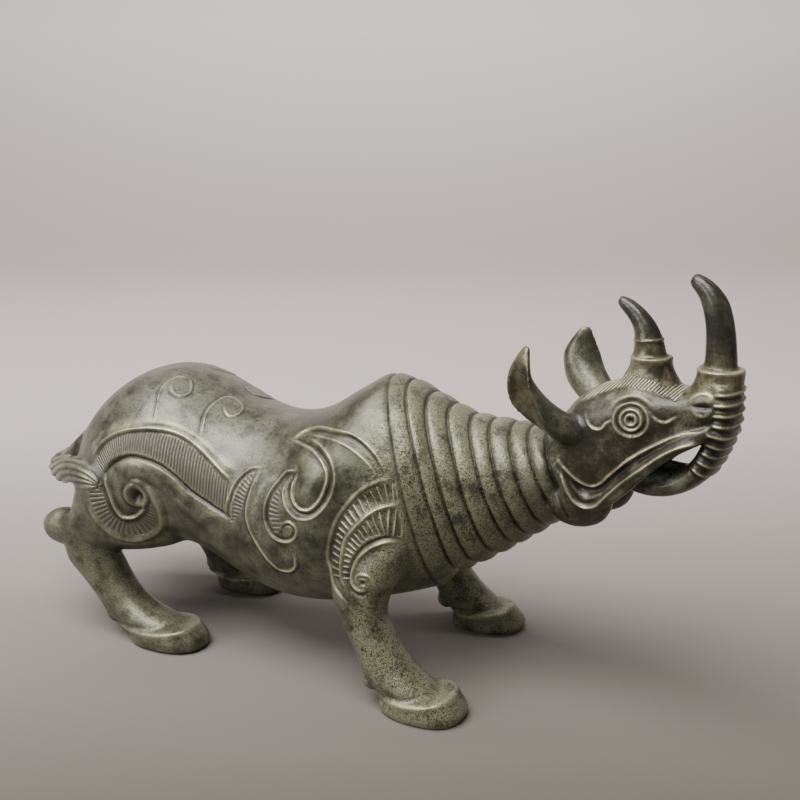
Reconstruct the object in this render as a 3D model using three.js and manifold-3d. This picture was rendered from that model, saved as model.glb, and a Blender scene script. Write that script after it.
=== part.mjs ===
import * as THREE from 'three';
import { mergeVertices } from 'three/addons/utils/BufferGeometryUtils.js';
import Module from 'manifold-3d';

// A cast bronze rhinoceros in the archaic manner, standing on four short legs with its head raised.
// Millimetres, +X towards the head, -Y the animal's right side, +Z up, the ground at z = 0.

// Driving dimensions
const BODY_SIDES = 20;
const LIMB_SIDES = 12;
const HORN_SIDES = 10;
const RING_RISE = 1.6;
const HEAD_TURN = THREE.MathUtils.degToRad(-12.5);
const TURN_START = 40;
const TURN_END = 76;
// The far side's ridges are laid in longer steps.
const FAR_STEP = 1.85;

// Trunk stations: x, top, bottom, half width, on upright planes from the rump to the withers.
const TRUNK = [
  [-110.5, 59, 50, 5],
  [-104.5, 70.2, 41, 16],
  [-99, 77.2, 37, 22],
  [-92, 84.2, 34, 27],
  [-84, 89.7, 32.3, 30.6],
  [-75, 93.4, 31.5, 32.8],
  [-66, 94.3, 32, 33.5],
  [-57, 92, 32.5, 32.5],
  [-47, 87.6, 30, 31.4],
  [-37, 83.6, 25, 31],
  [-28, 81.6, 21.3, 31.6],
  [-18, 82.2, 19.3, 33],
  [-8, 85.8, 19.3, 34],
  [1, 91.6, 20.5, 34],
  [8, 96, 22, 32.5],
];

// Neck grooves between the rings: x and z at the top, x and z at the bottom, half width, and how far
// forward the near side of the groove bows.
const GROOVES = [
  [13.5, 98, 33, 30, 28.6, 8.5],
  [19.8, 96.6, 38.5, 37, 26, 8.5],
  [27, 93, 45, 40.6, 23.6, 5.8],
  [34, 89.8, 51.6, 44.8, 21, 5],
  [41.2, 87, 57.8, 49.3, 18.8, 4.6],
  [47.8, 86.4, 62.8, 53.1, 17, 3.8],
  [54.8, 86.3, 68.2, 57.3, 15.6, 3.4],
  [60.9, 86, 73.4, 62, 14.8, 3.8],
  [67, 86.4, 77, 66, 14.2, 3.8],
];

// Scroll ridges on each flank, drawn in side view (x, z): half width, height and the line they follow.
const SCROLLS = [
  // Haunch: the long crest, the volute and the rim that answers it below.
  { width: 2, height: 1.3, step: 8, line: [
    [-86.5, 69], [-81.5, 73.5], [-74.5, 77], [-66, 79.5], [-58.5, 79], [-49.5, 75.5], [-41, 71], [-32, 64.5]] },
  { width: 1.6, height: 1.1, step: 5.8, line: [
    [-34, 54.5], [-47.5, 60.5], [-55.5, 66.5], [-61, 69], [-66.5, 70], [-72.5, 67.5], [-76.5, 62], [-77, 57.5],
    [-76, 53], [-73.5, 49], [-70.5, 47.5], [-66, 50], [-62.5, 54], [-64, 57.5], [-67, 56.5]] },
  { width: 1.6, height: 1.1, step: 7.3, line: [
    [-63, 60], [-59.5, 58], [-58.5, 53.5], [-61.5, 47], [-67, 41.5], [-72, 40], [-77, 41.5], [-82, 46], [-84.5, 53]] },
  // Flank: a crescent, the large comma and the small one inside it.
  { width: 1.2, height: 0.8, step: 6.5, nearOnly: true, line: [
    [-21, 70.5], [-25.5, 69], [-29, 65.5], [-31, 61], [-32, 56], [-31.5, 51.5]] },
  { width: 1.6, height: 1.1, step: 6.5, line: [
    [-21, 70.5], [-24, 64], [-24.8, 57], [-22.5, 50], [-16, 41], [-12.5, 38.5], [-8.5, 38.5], [-5.5, 41], [-5, 46]] },
  { width: 1.4, height: 0.9, step: 5.8, nearOnly: true, line: [
    [-6.5, 71.5], [-10.5, 70.5], [-15.5, 63.5], [-16.5, 58.5], [-15.5, 54], [-12.5, 50.5], [-9, 50], [-5.5, 52],
    [-5, 54.5], [-7, 56]] },
  // Flame behind the shoulder and the tongue that hangs inside it.
  { width: 1.6, height: 1.1, step: 7.3, line: [
    [-14, 78.5], [-10, 81], [-3.5, 83.5], [4, 84.5], [10.5, 84.5], [15.5, 82.5], [20.5, 78.5], [23.5, 74.5]] },
  { width: 1.4, height: 1, step: 6, nearOnly: true, line: [
    [-14, 78.5], [-8, 78.8], [-1.5, 78], [3, 75.5], [5, 72], [4.5, 67.5], [2.5, 63.5], [-0.5, 61], [-4, 61],
    [-6.8, 63], [-7.6, 66.5], [-7, 71]] },
  // Shoulder: two crescents and the curl on the boss.
  { width: 1.6, height: 1.1, step: 7.3, line: [
    [25, 73.5], [21, 72], [16, 69], [12, 64.5], [8.5, 59], [6.5, 52.5], [5.8, 45], [8.5, 39.5]] },
  { width: 1.2, height: 0.8, step: 7.1, nearOnly: true, line: [
    [27.5, 65.5], [24.5, 65], [20, 63], [16, 59], [12, 53.5], [11, 47], [12.5, 41]] },
  { width: 1.4, height: 1, step: 5, line: [
    [28.5, 54], [25.5, 55], [22, 54], [18, 51], [15.5, 46.5], [15, 42], [16.5, 39], [19, 37.8], [22, 39.4],
    [22, 42.5], [20, 44.2]] },
];

const wasm = await Module();
wasm.setup();

function solidOf(geometry) {
  const bare = geometry.index ? geometry.toNonIndexed() : geometry.clone();
  bare.deleteAttribute('normal');
  bare.deleteAttribute('uv');
  const merged = mergeVertices(bare, 1e-4);
  const solid = new wasm.Manifold(new wasm.Mesh({
    numProp: 3,
    vertProperties: new Float32Array(merged.attributes.position.array),
    triVerts: new Uint32Array(merged.index.array),
  }));
  if (solid.volume() <= 0) throw new Error('a solid is inside out');
  return solid;
}

function geometryOf(solid) {
  const mesh = solid.getMesh();
  const geometry = new THREE.BufferGeometry();
  const corners = new Float32Array(mesh.triVerts.length * 3);
  for (let i = 0; i < mesh.triVerts.length; i += 1) {
    for (let k = 0; k < 3; k += 1) {
      corners[3 * i + k] = mesh.vertProperties[mesh.numProp * mesh.triVerts[i] + k];
    }
  }
  geometry.setAttribute('position', new THREE.BufferAttribute(corners, 3));
  geometry.computeVertexNormals();
  return geometry;
}

// One section of a limb. The pitch turns the direction of travel from +X towards +Z, and the yaw
// turns it from +X towards +Y, in degrees. The section is rounder than a box and fuller than an
// ellipse where the power is above 2. A bow carries its near side forward and its far side a little back.
function section({ at, pitch = 0, yaw = 0, up, down, half, power = 2, bow = 0 }, sides) {
  const turn = new THREE.Euler(0, THREE.MathUtils.degToRad(-pitch), THREE.MathUtils.degToRad(yaw), 'ZYX');
  const points = [];
  for (let i = 0; i < sides; i += 1) {
    const angle = (i / sides) * 2 * Math.PI;
    const c = Math.cos(angle);
    const s = Math.sin(angle);
    const side = Math.sign(c) * Math.abs(c) ** (2 / power) * half;
    const rise = Math.sign(s) * Math.abs(s) ** (2 / power) * (s > 0 ? up : down);
    const forward = bow * (((1 - side / half) / 2) ** 2 - 0.25);
    points.push(new THREE.Vector3(forward, side, rise).applyEuler(turn).add(new THREE.Vector3(...at)));
  }
  return points;
}

// A closed skin over a row of sections with the same number of sides.
function skin(rows) {
  const sides = rows[0].length;
  const positions = [];
  const face = (a, b, c) => positions.push(...a.toArray(), ...b.toArray(), ...c.toArray());
  const middle = (row) => row.reduce((sum, p) => sum.add(p), new THREE.Vector3()).divideScalar(sides);
  for (let r = 0; r + 1 < rows.length; r += 1) {
    for (let i = 0; i < sides; i += 1) {
      const j = (i + 1) % sides;
      face(rows[r][i], rows[r][j], rows[r + 1][j]);
      face(rows[r][i], rows[r + 1][j], rows[r + 1][i]);
    }
  }
  const first = rows[0];
  const last = rows[rows.length - 1];
  for (let i = 0; i < sides; i += 1) {
    const j = (i + 1) % sides;
    face(middle(first), first[j], first[i]);
    face(middle(last), last[i], last[j]);
  }
  const geometry = new THREE.BufferGeometry();
  geometry.setAttribute('position', new THREE.BufferAttribute(new Float32Array(positions), 3));
  return geometry;
}

function limb(stations, sides = LIMB_SIDES) {
  return solidOf(skin(stations.map((station) => section(station, sides))));
}

// Trunk and ringed neck, one continuous casting.
function upright([x, top, bottom, half]) {
  const z = bottom + (top - bottom) * 0.47;
  return { at: [x, 0, z], up: top - z, down: z - bottom, half, power: 2.15 };
}

function grooveStation([xTop, zTop, xBottom, zBottom, half, bow], rise = 0) {
  const z = (zTop + zBottom) / 2;
  const x = (xTop + xBottom) / 2;
  const height = Math.hypot(xTop - xBottom, zTop - zBottom) / 2 + rise;
  const pitch = THREE.MathUtils.radToDeg(Math.atan2(xBottom - xTop, zTop - zBottom));
  return { at: [x, 0, z], pitch, up: height, down: height, half: half + rise, power: 2.05, bow };
}

function neckStations() {
  const between = (a, b, t) => a.map((value, i) => value + (b[i] - value) * t);
  const stations = [];
  GROOVES.forEach((groove, i) => {
    stations.push(grooveStation(groove));
    const next = GROOVES[i + 1];
    if (next) {
      stations.push(grooveStation(between(groove, next, 0.28), RING_RISE));
      stations.push(grooveStation(between(groove, next, 0.72), RING_RISE));
    }
  });
  return stations;
}

const trunk = limb([...TRUNK.map(upright), ...neckStations()], BODY_SIDES);

// Hind leg: haunch, hock and shank. A larger step stands the shank straighter.
function hindLeg(step) {
  const thigh = limb([
    { at: [-66, -12, 70], pitch: 212, up: 24, down: 14, half: 8 },
    { at: [-73, -17.5, 61], pitch: 212, up: 29, down: 18, half: 13.4 },
    { at: [-80.6, -20, 54], pitch: 212, up: 25, down: 17.6, half: 14.6 },
    { at: [-88, -21.5, 47], pitch: 210, up: 18.4, down: 14, half: 13.2 },
    { at: [-94.2, -23, 41.5], pitch: 205, up: 12.4, down: 7.4, half: 10.5 },
    { at: [-99.6, -24.2, 38.4], pitch: 196, up: 8.8, down: 4.8, half: 8 },
    { at: [-104.4, -24.8, 37.6], pitch: 188, up: 7.4, down: 6, half: 7.2 },
    { at: [-108.4, -25, 37.6], pitch: 184, up: 5.8, down: 5, half: 6.2 },
    { at: [-111.4, -25, 37.8], pitch: 180, up: 3, down: 2.8, half: 3.4 },
  ]);
  const shank = limb([
    { at: [-98.5, -24.8, 38], pitch: -46, up: 8, down: 5.2, half: 7.4 },
    { at: [-95.4 + step * 0.5, -24.8, 31], pitch: -46, up: 9.6, down: 7.8, half: 8 },
    { at: [-89.6 + step * 0.9, -24.8, 24.5], pitch: -47, up: 9.2, down: 7.4, half: 8 },
    { at: [-84 + step, -24.8, 17.5], pitch: -48, up: 7.4, down: 7, half: 7.8 },
    { at: [-79 + step * 0.85, -24.8, 12], pitch: -40, up: 6.6, down: 7.8, half: 7.8 },
    { at: [-71.5 + step * 0.6, -24.9, 8], pitch: -22, up: 5.2, down: 6, half: 8.2 },
    { at: [-63, -25, 5.8], pitch: -12, up: 4.6, down: 4.6, half: 8 },
    { at: [-55, -25, 4.4], pitch: -12, up: 3.4, down: 3.4, half: 5.6 },
  ]);
  const heel = fetlock(-82.6 + step * 0.75, -25, 7.8);
  return thigh.add(shank).add(heel).add(hoof(-62 + step * 0.25, -25, 15.6 - step * 0.1));
}

// The pad at the back of the foot, just above the heel of the hoof.
function fetlock(x, y, z) {
  return solidOf(new THREE.SphereGeometry(3.7, 6, 4).scale(1, 1.8, 1).translate(x, y, z));
}

// The same limb on the far side of the animal, set a little forward.
const farSide = (solid, shift) => solid.mirror([0, 1, 0]).translate([shift, 0, 0]);

// A hoof is a low shoe: flat sole, flared wall and a raised band at the coronet, higher in front.
function hoof(x, y, length) {
  const row = (shift, z, half, width, tilt = 0) => ({
    at: [x + shift, y, z], pitch: 90 + tilt, up: half, down: half, half: width, power: 2.3,
  });
  return limb([
    row(0, 0, length * 0.95, 9.6),
    row(0.4, 2, length, 10.2, 2),
    row(-0.7, 5.2, length * 0.86, 9.7, 6),
    row(-1.4, 7, length * 0.68, 8.6, 9),
  ], 12);
}

// Front leg: a low swelling of the shoulder that narrows to the wrist.
function frontLeg(length) {
  const leg = limb([
    { at: [15, -15, 76], pitch: -86, up: 8, down: 10, half: 9 },
    { at: [16.5, -19.4, 62], pitch: -86, up: 13.6, down: 15.6, half: 13.2 },
    { at: [17, -22.4, 51], pitch: -87, up: 13.6, down: 15.6, half: 12.4 },
    { at: [16.5, -26, 42], pitch: -88, up: 11.4, down: 12.8, half: 10.6 },
    { at: [15.8, -28.8, 34], pitch: -86, up: 8.6, down: 9.8, half: 9 },
    { at: [17.2, -30.2, 27.5], pitch: -77, up: 6.8, down: 7.4, half: 8 },
    { at: [20.2, -30.8, 21], pitch: -66, up: 7, down: 6.6, half: 7.8 },
    { at: [24, -31.2, 14.5], pitch: -52, up: 7.2, down: 7.4, half: 8 },
    { at: [29.2, -31.4, 9.5], pitch: -34, up: 6.4, down: 7.2, half: 8.4 },
    { at: [36, -31.5, 6], pitch: -22, up: 4.6, down: 5, half: 8.2 },
    { at: [43, -31.5, 4.2], pitch: -16, up: 3.2, down: 3.4, half: 6 },
  ]);
  return leg.add(fetlock(20.8, -31, 8.6)).add(hoof(22.6 + length, -31.6, length));
}

const head = limb([
  { at: [62, 0, 76], pitch: 18, up: 10, down: 10, half: 12 },
  { at: [73.5, 0, 78], pitch: 18, up: 12, down: 13, half: 14 },
  { at: [78.6, 0, 82], pitch: 18, up: 14.4, down: 15, half: 14.6, power: 2.3 },
  { at: [83.5, 0, 86], pitch: 20, up: 15.2, down: 16.4, half: 14.8, power: 2.5 },
  { at: [89, 0, 90.5], pitch: 22, up: 14.2, down: 16, half: 14.2, power: 2.5 },
  { at: [95.3, 0, 95.5], pitch: 22, up: 11.2, down: 13.8, half: 13, power: 2.4 },
  { at: [102, 0, 98], pitch: 20, up: 9, down: 9.8, half: 11.6, power: 2.3 },
  { at: [108.2, 0, 99.4], pitch: 14, up: 6.6, down: 7.2, half: 10, power: 2.3 },
  { at: [113.5, 0, 100.4], pitch: 6, up: 7, down: 5, half: 9.4, power: 2.4 },
  { at: [117.8, 0, 101.6], pitch: 0, up: 6, down: 4.4, half: 8.8, power: 2.6 },
], 16);

// Lips: a band that drops round the corner of the mouth and runs up to the snout.
function lips(side) {
  const middles = [
    [75, 81.6, -13.4, 1.6], [78.4, 77, -13.6, 2.4], [81.6, 72.4, -13.2, 2.7], [85.2, 70.8, -13, 2.6],
    [89.8, 72.6, -13, 2.4], [97.4, 79.6, -12.6, 2.2], [103.4, 86, -12, 2.1], [109, 90.8, -11, 2],
    [114.2, 94.2, -9.6, 2], [118, 96.2, -7.2, 1.8],
  ];
  return limb(middles.map(([x, z, y, height], i) => {
    const [x0, z0] = middles[Math.max(i - 1, 0)];
    const [x1, z1] = middles[Math.min(i + 1, middles.length - 1)];
    const pitch = THREE.MathUtils.radToDeg(Math.atan2(z1 - z0, x1 - x0));
    return { at: [x, -y * side, z], pitch, up: height, down: height, half: 1.9, power: 3 };
  }), 8);
}

// An eye: a round boss inside a ring.
function eye(side) {
  const profile = [[0, -2], [5.2, -2], [4.7, 1], [3.4, 0.2], [1.9, 0.3], [0, 1]];
  const boss = new THREE.LatheGeometry(profile.map(([r, h]) => new THREE.Vector2(r, h)), 9);
  boss.rotateZ(side > 0 ? -0.14 : Math.PI + 0.14).rotateX(side * 0.14);
  return solidOf(boss.translate(96.9, 12.6 * side, 97.3));
}

// Two soft lobes of the jowl under the corners of the mouth.
function jowl(side) {
  return solidOf(new THREE.SphereGeometry(1, 8, 6).rotateX(Math.PI / 2)
    .scale(11, 7.4, 8.4).translate(80, 8 * side, 69.6));
}

// Snout tip curling down into the lower jaw, which runs back under the open mouth.
const SNOUT_RIDGES = 9;

function jawStations() {
  const path = new THREE.CatmullRomCurve3([
    [118.8, 108.4], [119.2, 102], [118.8, 96], [117, 90.4], [114.8, 85.4], [111.2, 81], [106.2, 78], [100.8, 76.8],
    [95.2, 77.2], [88, 78.4],
  ].map(([x, z]) => new THREE.Vector3(x, 0, z)));
  const ridged = 0.47;
  const stations = [];
  const station = (t, rise) => {
    const at = path.getPointAt(t);
    const along = path.getTangentAt(t);
    const pitch = THREE.MathUtils.radToDeg(Math.atan2(along.z, along.x));
    const broad = 7.7 + 1.1 * Math.sin(Math.PI * Math.min(1, t * 1.15));
    stations.push({ at: at.toArray(), pitch, up: 3.4 + rise, down: 3.2, half: broad + rise, power: 2.4 });
  };
  for (let i = 0; i < SNOUT_RIDGES; i += 1) {
    station((i * ridged) / SNOUT_RIDGES, 0);
    station(((i + 0.5) * ridged) / SNOUT_RIDGES, 0.5);
  }
  for (let i = 0; i <= 5; i += 1) station(ridged + ((1 - ridged) * i) / 5, 0);
  return stations;
}

const jaw = limb(jawStations(), 10);

// The roof of the mouth fills the head down to the lips, and the tongue lies behind the jaw.
const palate = limb([
  { at: [80, 0, 76], pitch: 10, up: 8, down: 6, half: 12.4, power: 3.4 },
  { at: [86, 0, 75.6], pitch: 22, up: 9, down: 5.4, half: 12.4, power: 3.4 },
  { at: [91.5, 0, 79], pitch: 38, up: 9, down: 5.4, half: 12.2, power: 3.2 },
  { at: [97.8, 0, 86.6], pitch: 46, up: 6, down: 5.4, half: 11.8, power: 3 },
  { at: [104.6, 0, 93], pitch: 36, up: 5, down: 5, half: 10.8, power: 2.8 },
  { at: [112, 0, 97], pitch: 24, up: 4, down: 4.4, half: 9.2, power: 2.8 },
  { at: [117.4, 0, 98.4], pitch: 14, up: 3, down: 3, half: 7.4 },
], 8);

const tongue = limb([
  { at: [88, 0, 77.4], pitch: 10, up: 6, down: 4, half: 8 },
  { at: [97, 0, 79], pitch: 8, up: 3, down: 4, half: 8.2 },
  { at: [103.6, 0, 80.6], pitch: 16, up: 2.2, down: 3, half: 7.4 },
  { at: [108, 0, 82.4], pitch: 30, up: 1, down: 1.6, half: 4 },
], 8);

function horn(stations) {
  return limb(stations.map(([x, z, pitch, radius]) => (
    { at: [x, 0, z], pitch, up: radius, down: radius, half: radius })), HORN_SIDES);
}

const noseHorn = horn([
  [116.9, 104, 90, 4.7],
  [116.4, 113, 92, 4.4],
  [115.1, 124.5, 103, 3.8],
  [113.5, 129.4, 115, 3.5],
  [111, 132.9, 134, 2.8],
  [108, 135.2, 148, 2.1],
  [106.8, 135.9, 152, 1.5],
]);

const noseCollar = horn([
  [114.6, 101, 88, 8],
  [115.7, 105.4, 88, 7.1],
  [116.7, 111.4, 88, 6.2],
  [116.8, 112.4, 88, 5.2],
]);

const foreheadHorn = horn([
  [96.6, 104, 90, 5],
  [96.4, 113, 92, 4.7],
  [95.6, 118, 102, 3.9],
  [94, 121.8, 118, 3.1],
  [91.3, 124.9, 136, 2.5],
  [88.4, 127.1, 148, 2],
  [86.3, 128.2, 155, 1.3],
]);

const foreheadCollar = horn([
  [97.4, 101.5, 90, 11.6],
  [97.2, 106.5, 90, 8],
  [97, 112.6, 90, 5.6],
  [97, 113.4, 90, 4.9],
]);

// Ears: curled leaves that rise from a stem, full in front and hollow towards the back.
const EAR = [
  { at: [84, -10.5, 90.5], pitch: 160, yaw: 22, up: 3.8, down: 3.8, half: 3.8 },
  { at: [77.5, -14, 92.2], pitch: 156, yaw: 24, up: 4.2, down: 4.4, half: 4.6 },
  { at: [71.2, -17, 96.2], pitch: 142, yaw: 28, up: 5.6, down: 4.6, half: 5.4 },
  { at: [66.8, -19, 101.4], pitch: 122, yaw: 36, up: 6.6, down: 4.4, half: 5.8 },
  { at: [65, -20, 107], pitch: 98, yaw: 46, up: 4, down: 3.4, half: 5.4 },
  { at: [65.5, -19.4, 111.8], pitch: 82, yaw: 50, up: 2.2, down: 2.2, half: 3.4 },
  { at: [66.4, -18.3, 115.6], pitch: 74, yaw: 50, up: 0.7, down: 0.9, half: 1.5 },
];

const EAR_HOLLOW = [
  { at: [72, -19, 95.4], pitch: 142, yaw: 28, up: 3, down: 1, half: 2 },
  { at: [65.6, -21.6, 101.2], pitch: 122, yaw: 36, up: 8, down: 2.6, half: 3.9 },
  { at: [63.4, -22.2, 107], pitch: 98, yaw: 46, up: 6, down: 2.4, half: 3.8 },
  { at: [63.8, -21.8, 111.2], pitch: 82, yaw: 50, up: 4, down: 1.6, half: 2.6 },
];

function ear(side) {
  const leaf = limb(EAR, 10).subtract(limb(EAR_HOLLOW, 8));
  return side > 0 ? farSide(leaf, 2.6) : leaf;
}

// A short tail that continues the spine, ends in a bob and lays its tuft on the near haunch.
const tail = limb([
  { at: [-98, -3, 70], pitch: 222, up: 6, down: 4, half: 13 },
  { at: [-105.5, -4, 64.6], pitch: 220, yaw: 3, up: 9, down: 2.8, half: 11.5 },
  { at: [-112, -4.6, 59], pitch: 218, yaw: 8, up: 8, down: 3.2, half: 9.5 },
  { at: [-118, -4.4, 54.2], pitch: 216, yaw: 14, up: 5.6, down: 4.2, half: 7.2 },
  { at: [-122.6, -4.8, 50.6], pitch: 212, yaw: 20, up: 4.8, down: 4.8, half: 5.4 },
  { at: [-125.4, -5.6, 49], pitch: 208, yaw: 24, up: 2.8, down: 2.8, half: 3 },
], 10);

const tuft = limb([
  { at: [-121, -6, 50.8], pitch: 180, yaw: 138, up: 4.6, down: 4.8, half: 4.2 },
  { at: [-114, -12, 52.8], pitch: 178, yaw: 140, up: 5, down: 5, half: 4.4 },
  { at: [-106.5, -18.5, 55.6], pitch: 176, yaw: 140, up: 4.8, down: 4.8, half: 4.4 },
  { at: [-99, -24.5, 58.2], pitch: 174, yaw: 143, up: 4.4, down: 4.6, half: 4.2 },
  { at: [-92, -29.2, 60], pitch: 180, yaw: 150, up: 3.8, down: 4, half: 3.6 },
  { at: [-85, -32.4, 59.6], pitch: 186, yaw: 160, up: 2.8, down: 3, half: 2.6 },
  { at: [-80.8, -33.6, 58.4], pitch: 188, yaw: 166, up: 1, down: 1, half: 1 },
], 8);

// A ridge is a strip with a sharp back laid along a line on the skin, low at both ends.
function ridge({ width, height, step, line }, side, skinMesh) {
  const path = new THREE.CatmullRomCurve3(line.map(([x, z]) => new THREE.Vector3(x, 0, z)), false, 'centripetal');
  const count = Math.max(4, Math.round(path.getLength() / step));
  const rays = new THREE.Raycaster();
  const inward = new THREE.Vector3(0, -side, 0);
  const feet = path.getSpacedPoints(count).map((at) => {
    rays.set(new THREE.Vector3(at.x, 120 * side, at.z), inward);
    return rays.intersectObject(skinMesh)[0];
  });
  const rows = feet.map((foot, i) => {
    const before = feet[Math.max(i - 1, 0)];
    const after = feet[Math.min(i + 1, count)];
    const along = after.point.clone().sub(before.point).normalize();
    const out = before.normal.clone().add(foot.normal).add(after.normal);
    out.addScaledVector(along, -out.dot(along)).normalize();
    const across = new THREE.Vector3().crossVectors(along, out);
    const fade = Math.min(1, 0.35 + Math.min(i, count - i) * 0.45);
    const corner = (lateral, rise) => foot.point.clone().addScaledVector(across, lateral).addScaledVector(out, rise);
    return [corner(-width * fade, -0.7), corner(0, height * fade), corner(width * fade, -0.7)];
  });
  return solidOf(skin(rows));
}

// The neck turns the head a little towards the near side.
function turned(point) {
  if (point.x <= TURN_START) return point;
  const span = TURN_END - TURN_START;
  const along = Math.min(point.x - TURN_START, span);
  const rate = HEAD_TURN / span;
  const angle = rate * along;
  const beyond = Math.max(point.x - TURN_END, 0);
  const x = TURN_START + Math.sin(rate * along) / rate + beyond * Math.cos(HEAD_TURN);
  const y = (1 - Math.cos(rate * along)) / rate + beyond * Math.sin(HEAD_TURN);
  return point.set(x - Math.sin(angle) * point.y, y + Math.cos(angle) * point.y, point.z);
}

const groundCut = solidOf(new THREE.BoxGeometry(400, 200, 60).translate(0, 0, -30));

let body = trunk;
for (const piece of [
  hindLeg(0), farSide(hindLeg(10), 1), frontLeg(15.4), farSide(frontLeg(12.6), 1.5),
  head, lips(-1), lips(1), eye(-1), eye(1), palate, tongue, jowl(-1), jowl(1), jaw,
  noseHorn, noseCollar, foreheadHorn, foreheadCollar, ear(-1), ear(1), tail, tuft,
]) {
  body = body.add(piece);
}
body = body.subtract(groundCut);

const plain = new THREE.Mesh(geometryOf(body), new THREE.MeshBasicMaterial({ side: THREE.DoubleSide }));
for (const scroll of SCROLLS) body = body.add(ridge(scroll, -1, plain));
for (const scroll of SCROLLS.filter(({ nearOnly }) => !nearOnly)) {
  body = body.add(ridge({ ...scroll, step: scroll.step * FAR_STEP }, 1, plain));
}

const geometry = geometryOf(body);
const positions = geometry.attributes.position;
const point = new THREE.Vector3();
for (let i = 0; i < positions.count; i += 1) {
  turned(point.fromBufferAttribute(positions, i));
  positions.setXYZ(i, point.x, point.y, point.z);
}

geometry.computeBoundingBox();
const middle = geometry.boundingBox.getCenter(new THREE.Vector3());
geometry.translate(-middle.x, -middle.y, 0);

const bronze = new THREE.MeshStandardMaterial({ color: 0x5f6255, roughness: 0.5, metalness: 0.7 });
const rhinoceros = new THREE.Mesh(geometry, bronze);
rhinoceros.name = 'rhinoceros';

const group = new THREE.Group();
group.add(rhinoceros);

export default group;
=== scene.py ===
import math

import bpy
import numpy as np
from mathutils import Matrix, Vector
from mathutils.bvhtree import BVHTree


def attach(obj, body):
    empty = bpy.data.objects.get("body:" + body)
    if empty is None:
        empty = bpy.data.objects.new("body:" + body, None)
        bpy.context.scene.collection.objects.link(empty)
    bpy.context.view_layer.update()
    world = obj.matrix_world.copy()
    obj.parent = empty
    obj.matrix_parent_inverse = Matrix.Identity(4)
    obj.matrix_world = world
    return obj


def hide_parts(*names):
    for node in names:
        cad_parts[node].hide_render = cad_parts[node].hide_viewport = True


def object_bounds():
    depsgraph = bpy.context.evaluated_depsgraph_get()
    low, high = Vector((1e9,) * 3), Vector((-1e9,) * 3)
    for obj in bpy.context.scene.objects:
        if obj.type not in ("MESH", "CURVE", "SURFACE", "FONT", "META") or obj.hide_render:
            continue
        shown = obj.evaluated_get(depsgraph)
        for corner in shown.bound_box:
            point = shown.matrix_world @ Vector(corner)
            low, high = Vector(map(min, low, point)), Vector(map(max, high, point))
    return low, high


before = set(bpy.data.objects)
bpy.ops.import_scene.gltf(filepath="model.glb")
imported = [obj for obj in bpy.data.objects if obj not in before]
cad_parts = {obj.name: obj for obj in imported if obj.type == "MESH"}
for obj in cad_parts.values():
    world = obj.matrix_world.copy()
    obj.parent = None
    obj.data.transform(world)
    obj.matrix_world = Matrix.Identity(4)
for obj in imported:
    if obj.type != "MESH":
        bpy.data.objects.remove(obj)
cad_low, cad_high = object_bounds()

# The figure is drawn in millimetres with its neck straight: +X towards the head, -Y its right side,
# +Z up from the ground. FRAME_X is how far it then moves along X to meet the frame.
MM = 0.001
FRAME_X = 2.422

# The neck turns the head by HEAD_TURN between these two places along X.
HEAD_TURN = math.radians(-12.5)
TURN_START = 40.0
TURN_END = 76.0

# Size of the voxels that join the limbs into one skin, and the most triangles that it may keep.
VOXEL = 0.55
FACE_LIMIT = 190000

# How far one pass of relaxing moves a point towards its neighbours. The skin is relaxed all over, and
# again on the trunk between two soft steps along X.
RELAX = 0.6
SKIN_PASSES = 5
TRUNK_PASSES = 40
TRUNK_BACK = (-103, -96)
TRUNK_FRONT = (-6, 8)

# The camera looks from the figure's right and a little from the front, slightly down.
AZIMUTH = math.radians(22.9)
ELEVATION = math.radians(14.9)
CAMERA_PLACE = (0.140122, -0.2881, 0.1732)
LENS = 45
SENSOR = 36

# Trunk: x, top, bottom, half width.
TRUNK = [
    (-110.5, 59, 50, 5), (-108.5, 64, 45.5, 10.5), (-104.5, 70.2, 41, 16), (-99, 77.2, 37, 22),
    (-92, 84.2, 34, 27), (-84, 89.7, 32.3, 30.6), (-75, 93.4, 31.5, 32.8), (-66, 94.3, 32, 33.5),
    (-57, 92, 32.5, 32.5), (-47, 87.6, 30, 31.4), (-37, 83.6, 25, 31), (-28, 81.6, 21.3, 31.6),
    (-18, 82.2, 19.3, 33), (-8, 85.8, 19.3, 34), (1, 91.6, 20.5, 34), (8, 96, 22, 32.5),
]

# How high the trunk is widest, as a share of its height, and the power of its round sections.
WIDEST = 0.47
TRUNK_POWER = 2.15
NECK_POWER = 2.05

# Neck grooves: x and z at the top, x and z at the bottom, half width, and how far forward the near
# side of the groove bows.
GROOVES = [
    (13.5, 98, 33, 30, 28.6, 8.5), (19.8, 96.6, 38.5, 37, 26, 8.5), (27, 93, 45, 40.6, 23.6, 5.8),
    (34, 89.8, 51.6, 44.8, 21, 5), (41.2, 87, 57.8, 49.3, 18.8, 4.6), (47.8, 86.4, 62.8, 53.1, 17, 3.8),
    (54.8, 86.3, 68.2, 57.3, 15.6, 3.4), (60.9, 86, 73.4, 62, 14.8, 3.8), (67, 86.4, 77, 66, 14.2, 3.8),
]

# Cushions between the grooves: how far they stand out, their share behind the first groove, and the
# number of sections in each.
RING_RISE = 1.6
FIRST_RING = 0.6
RING_SECTIONS = 12

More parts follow.
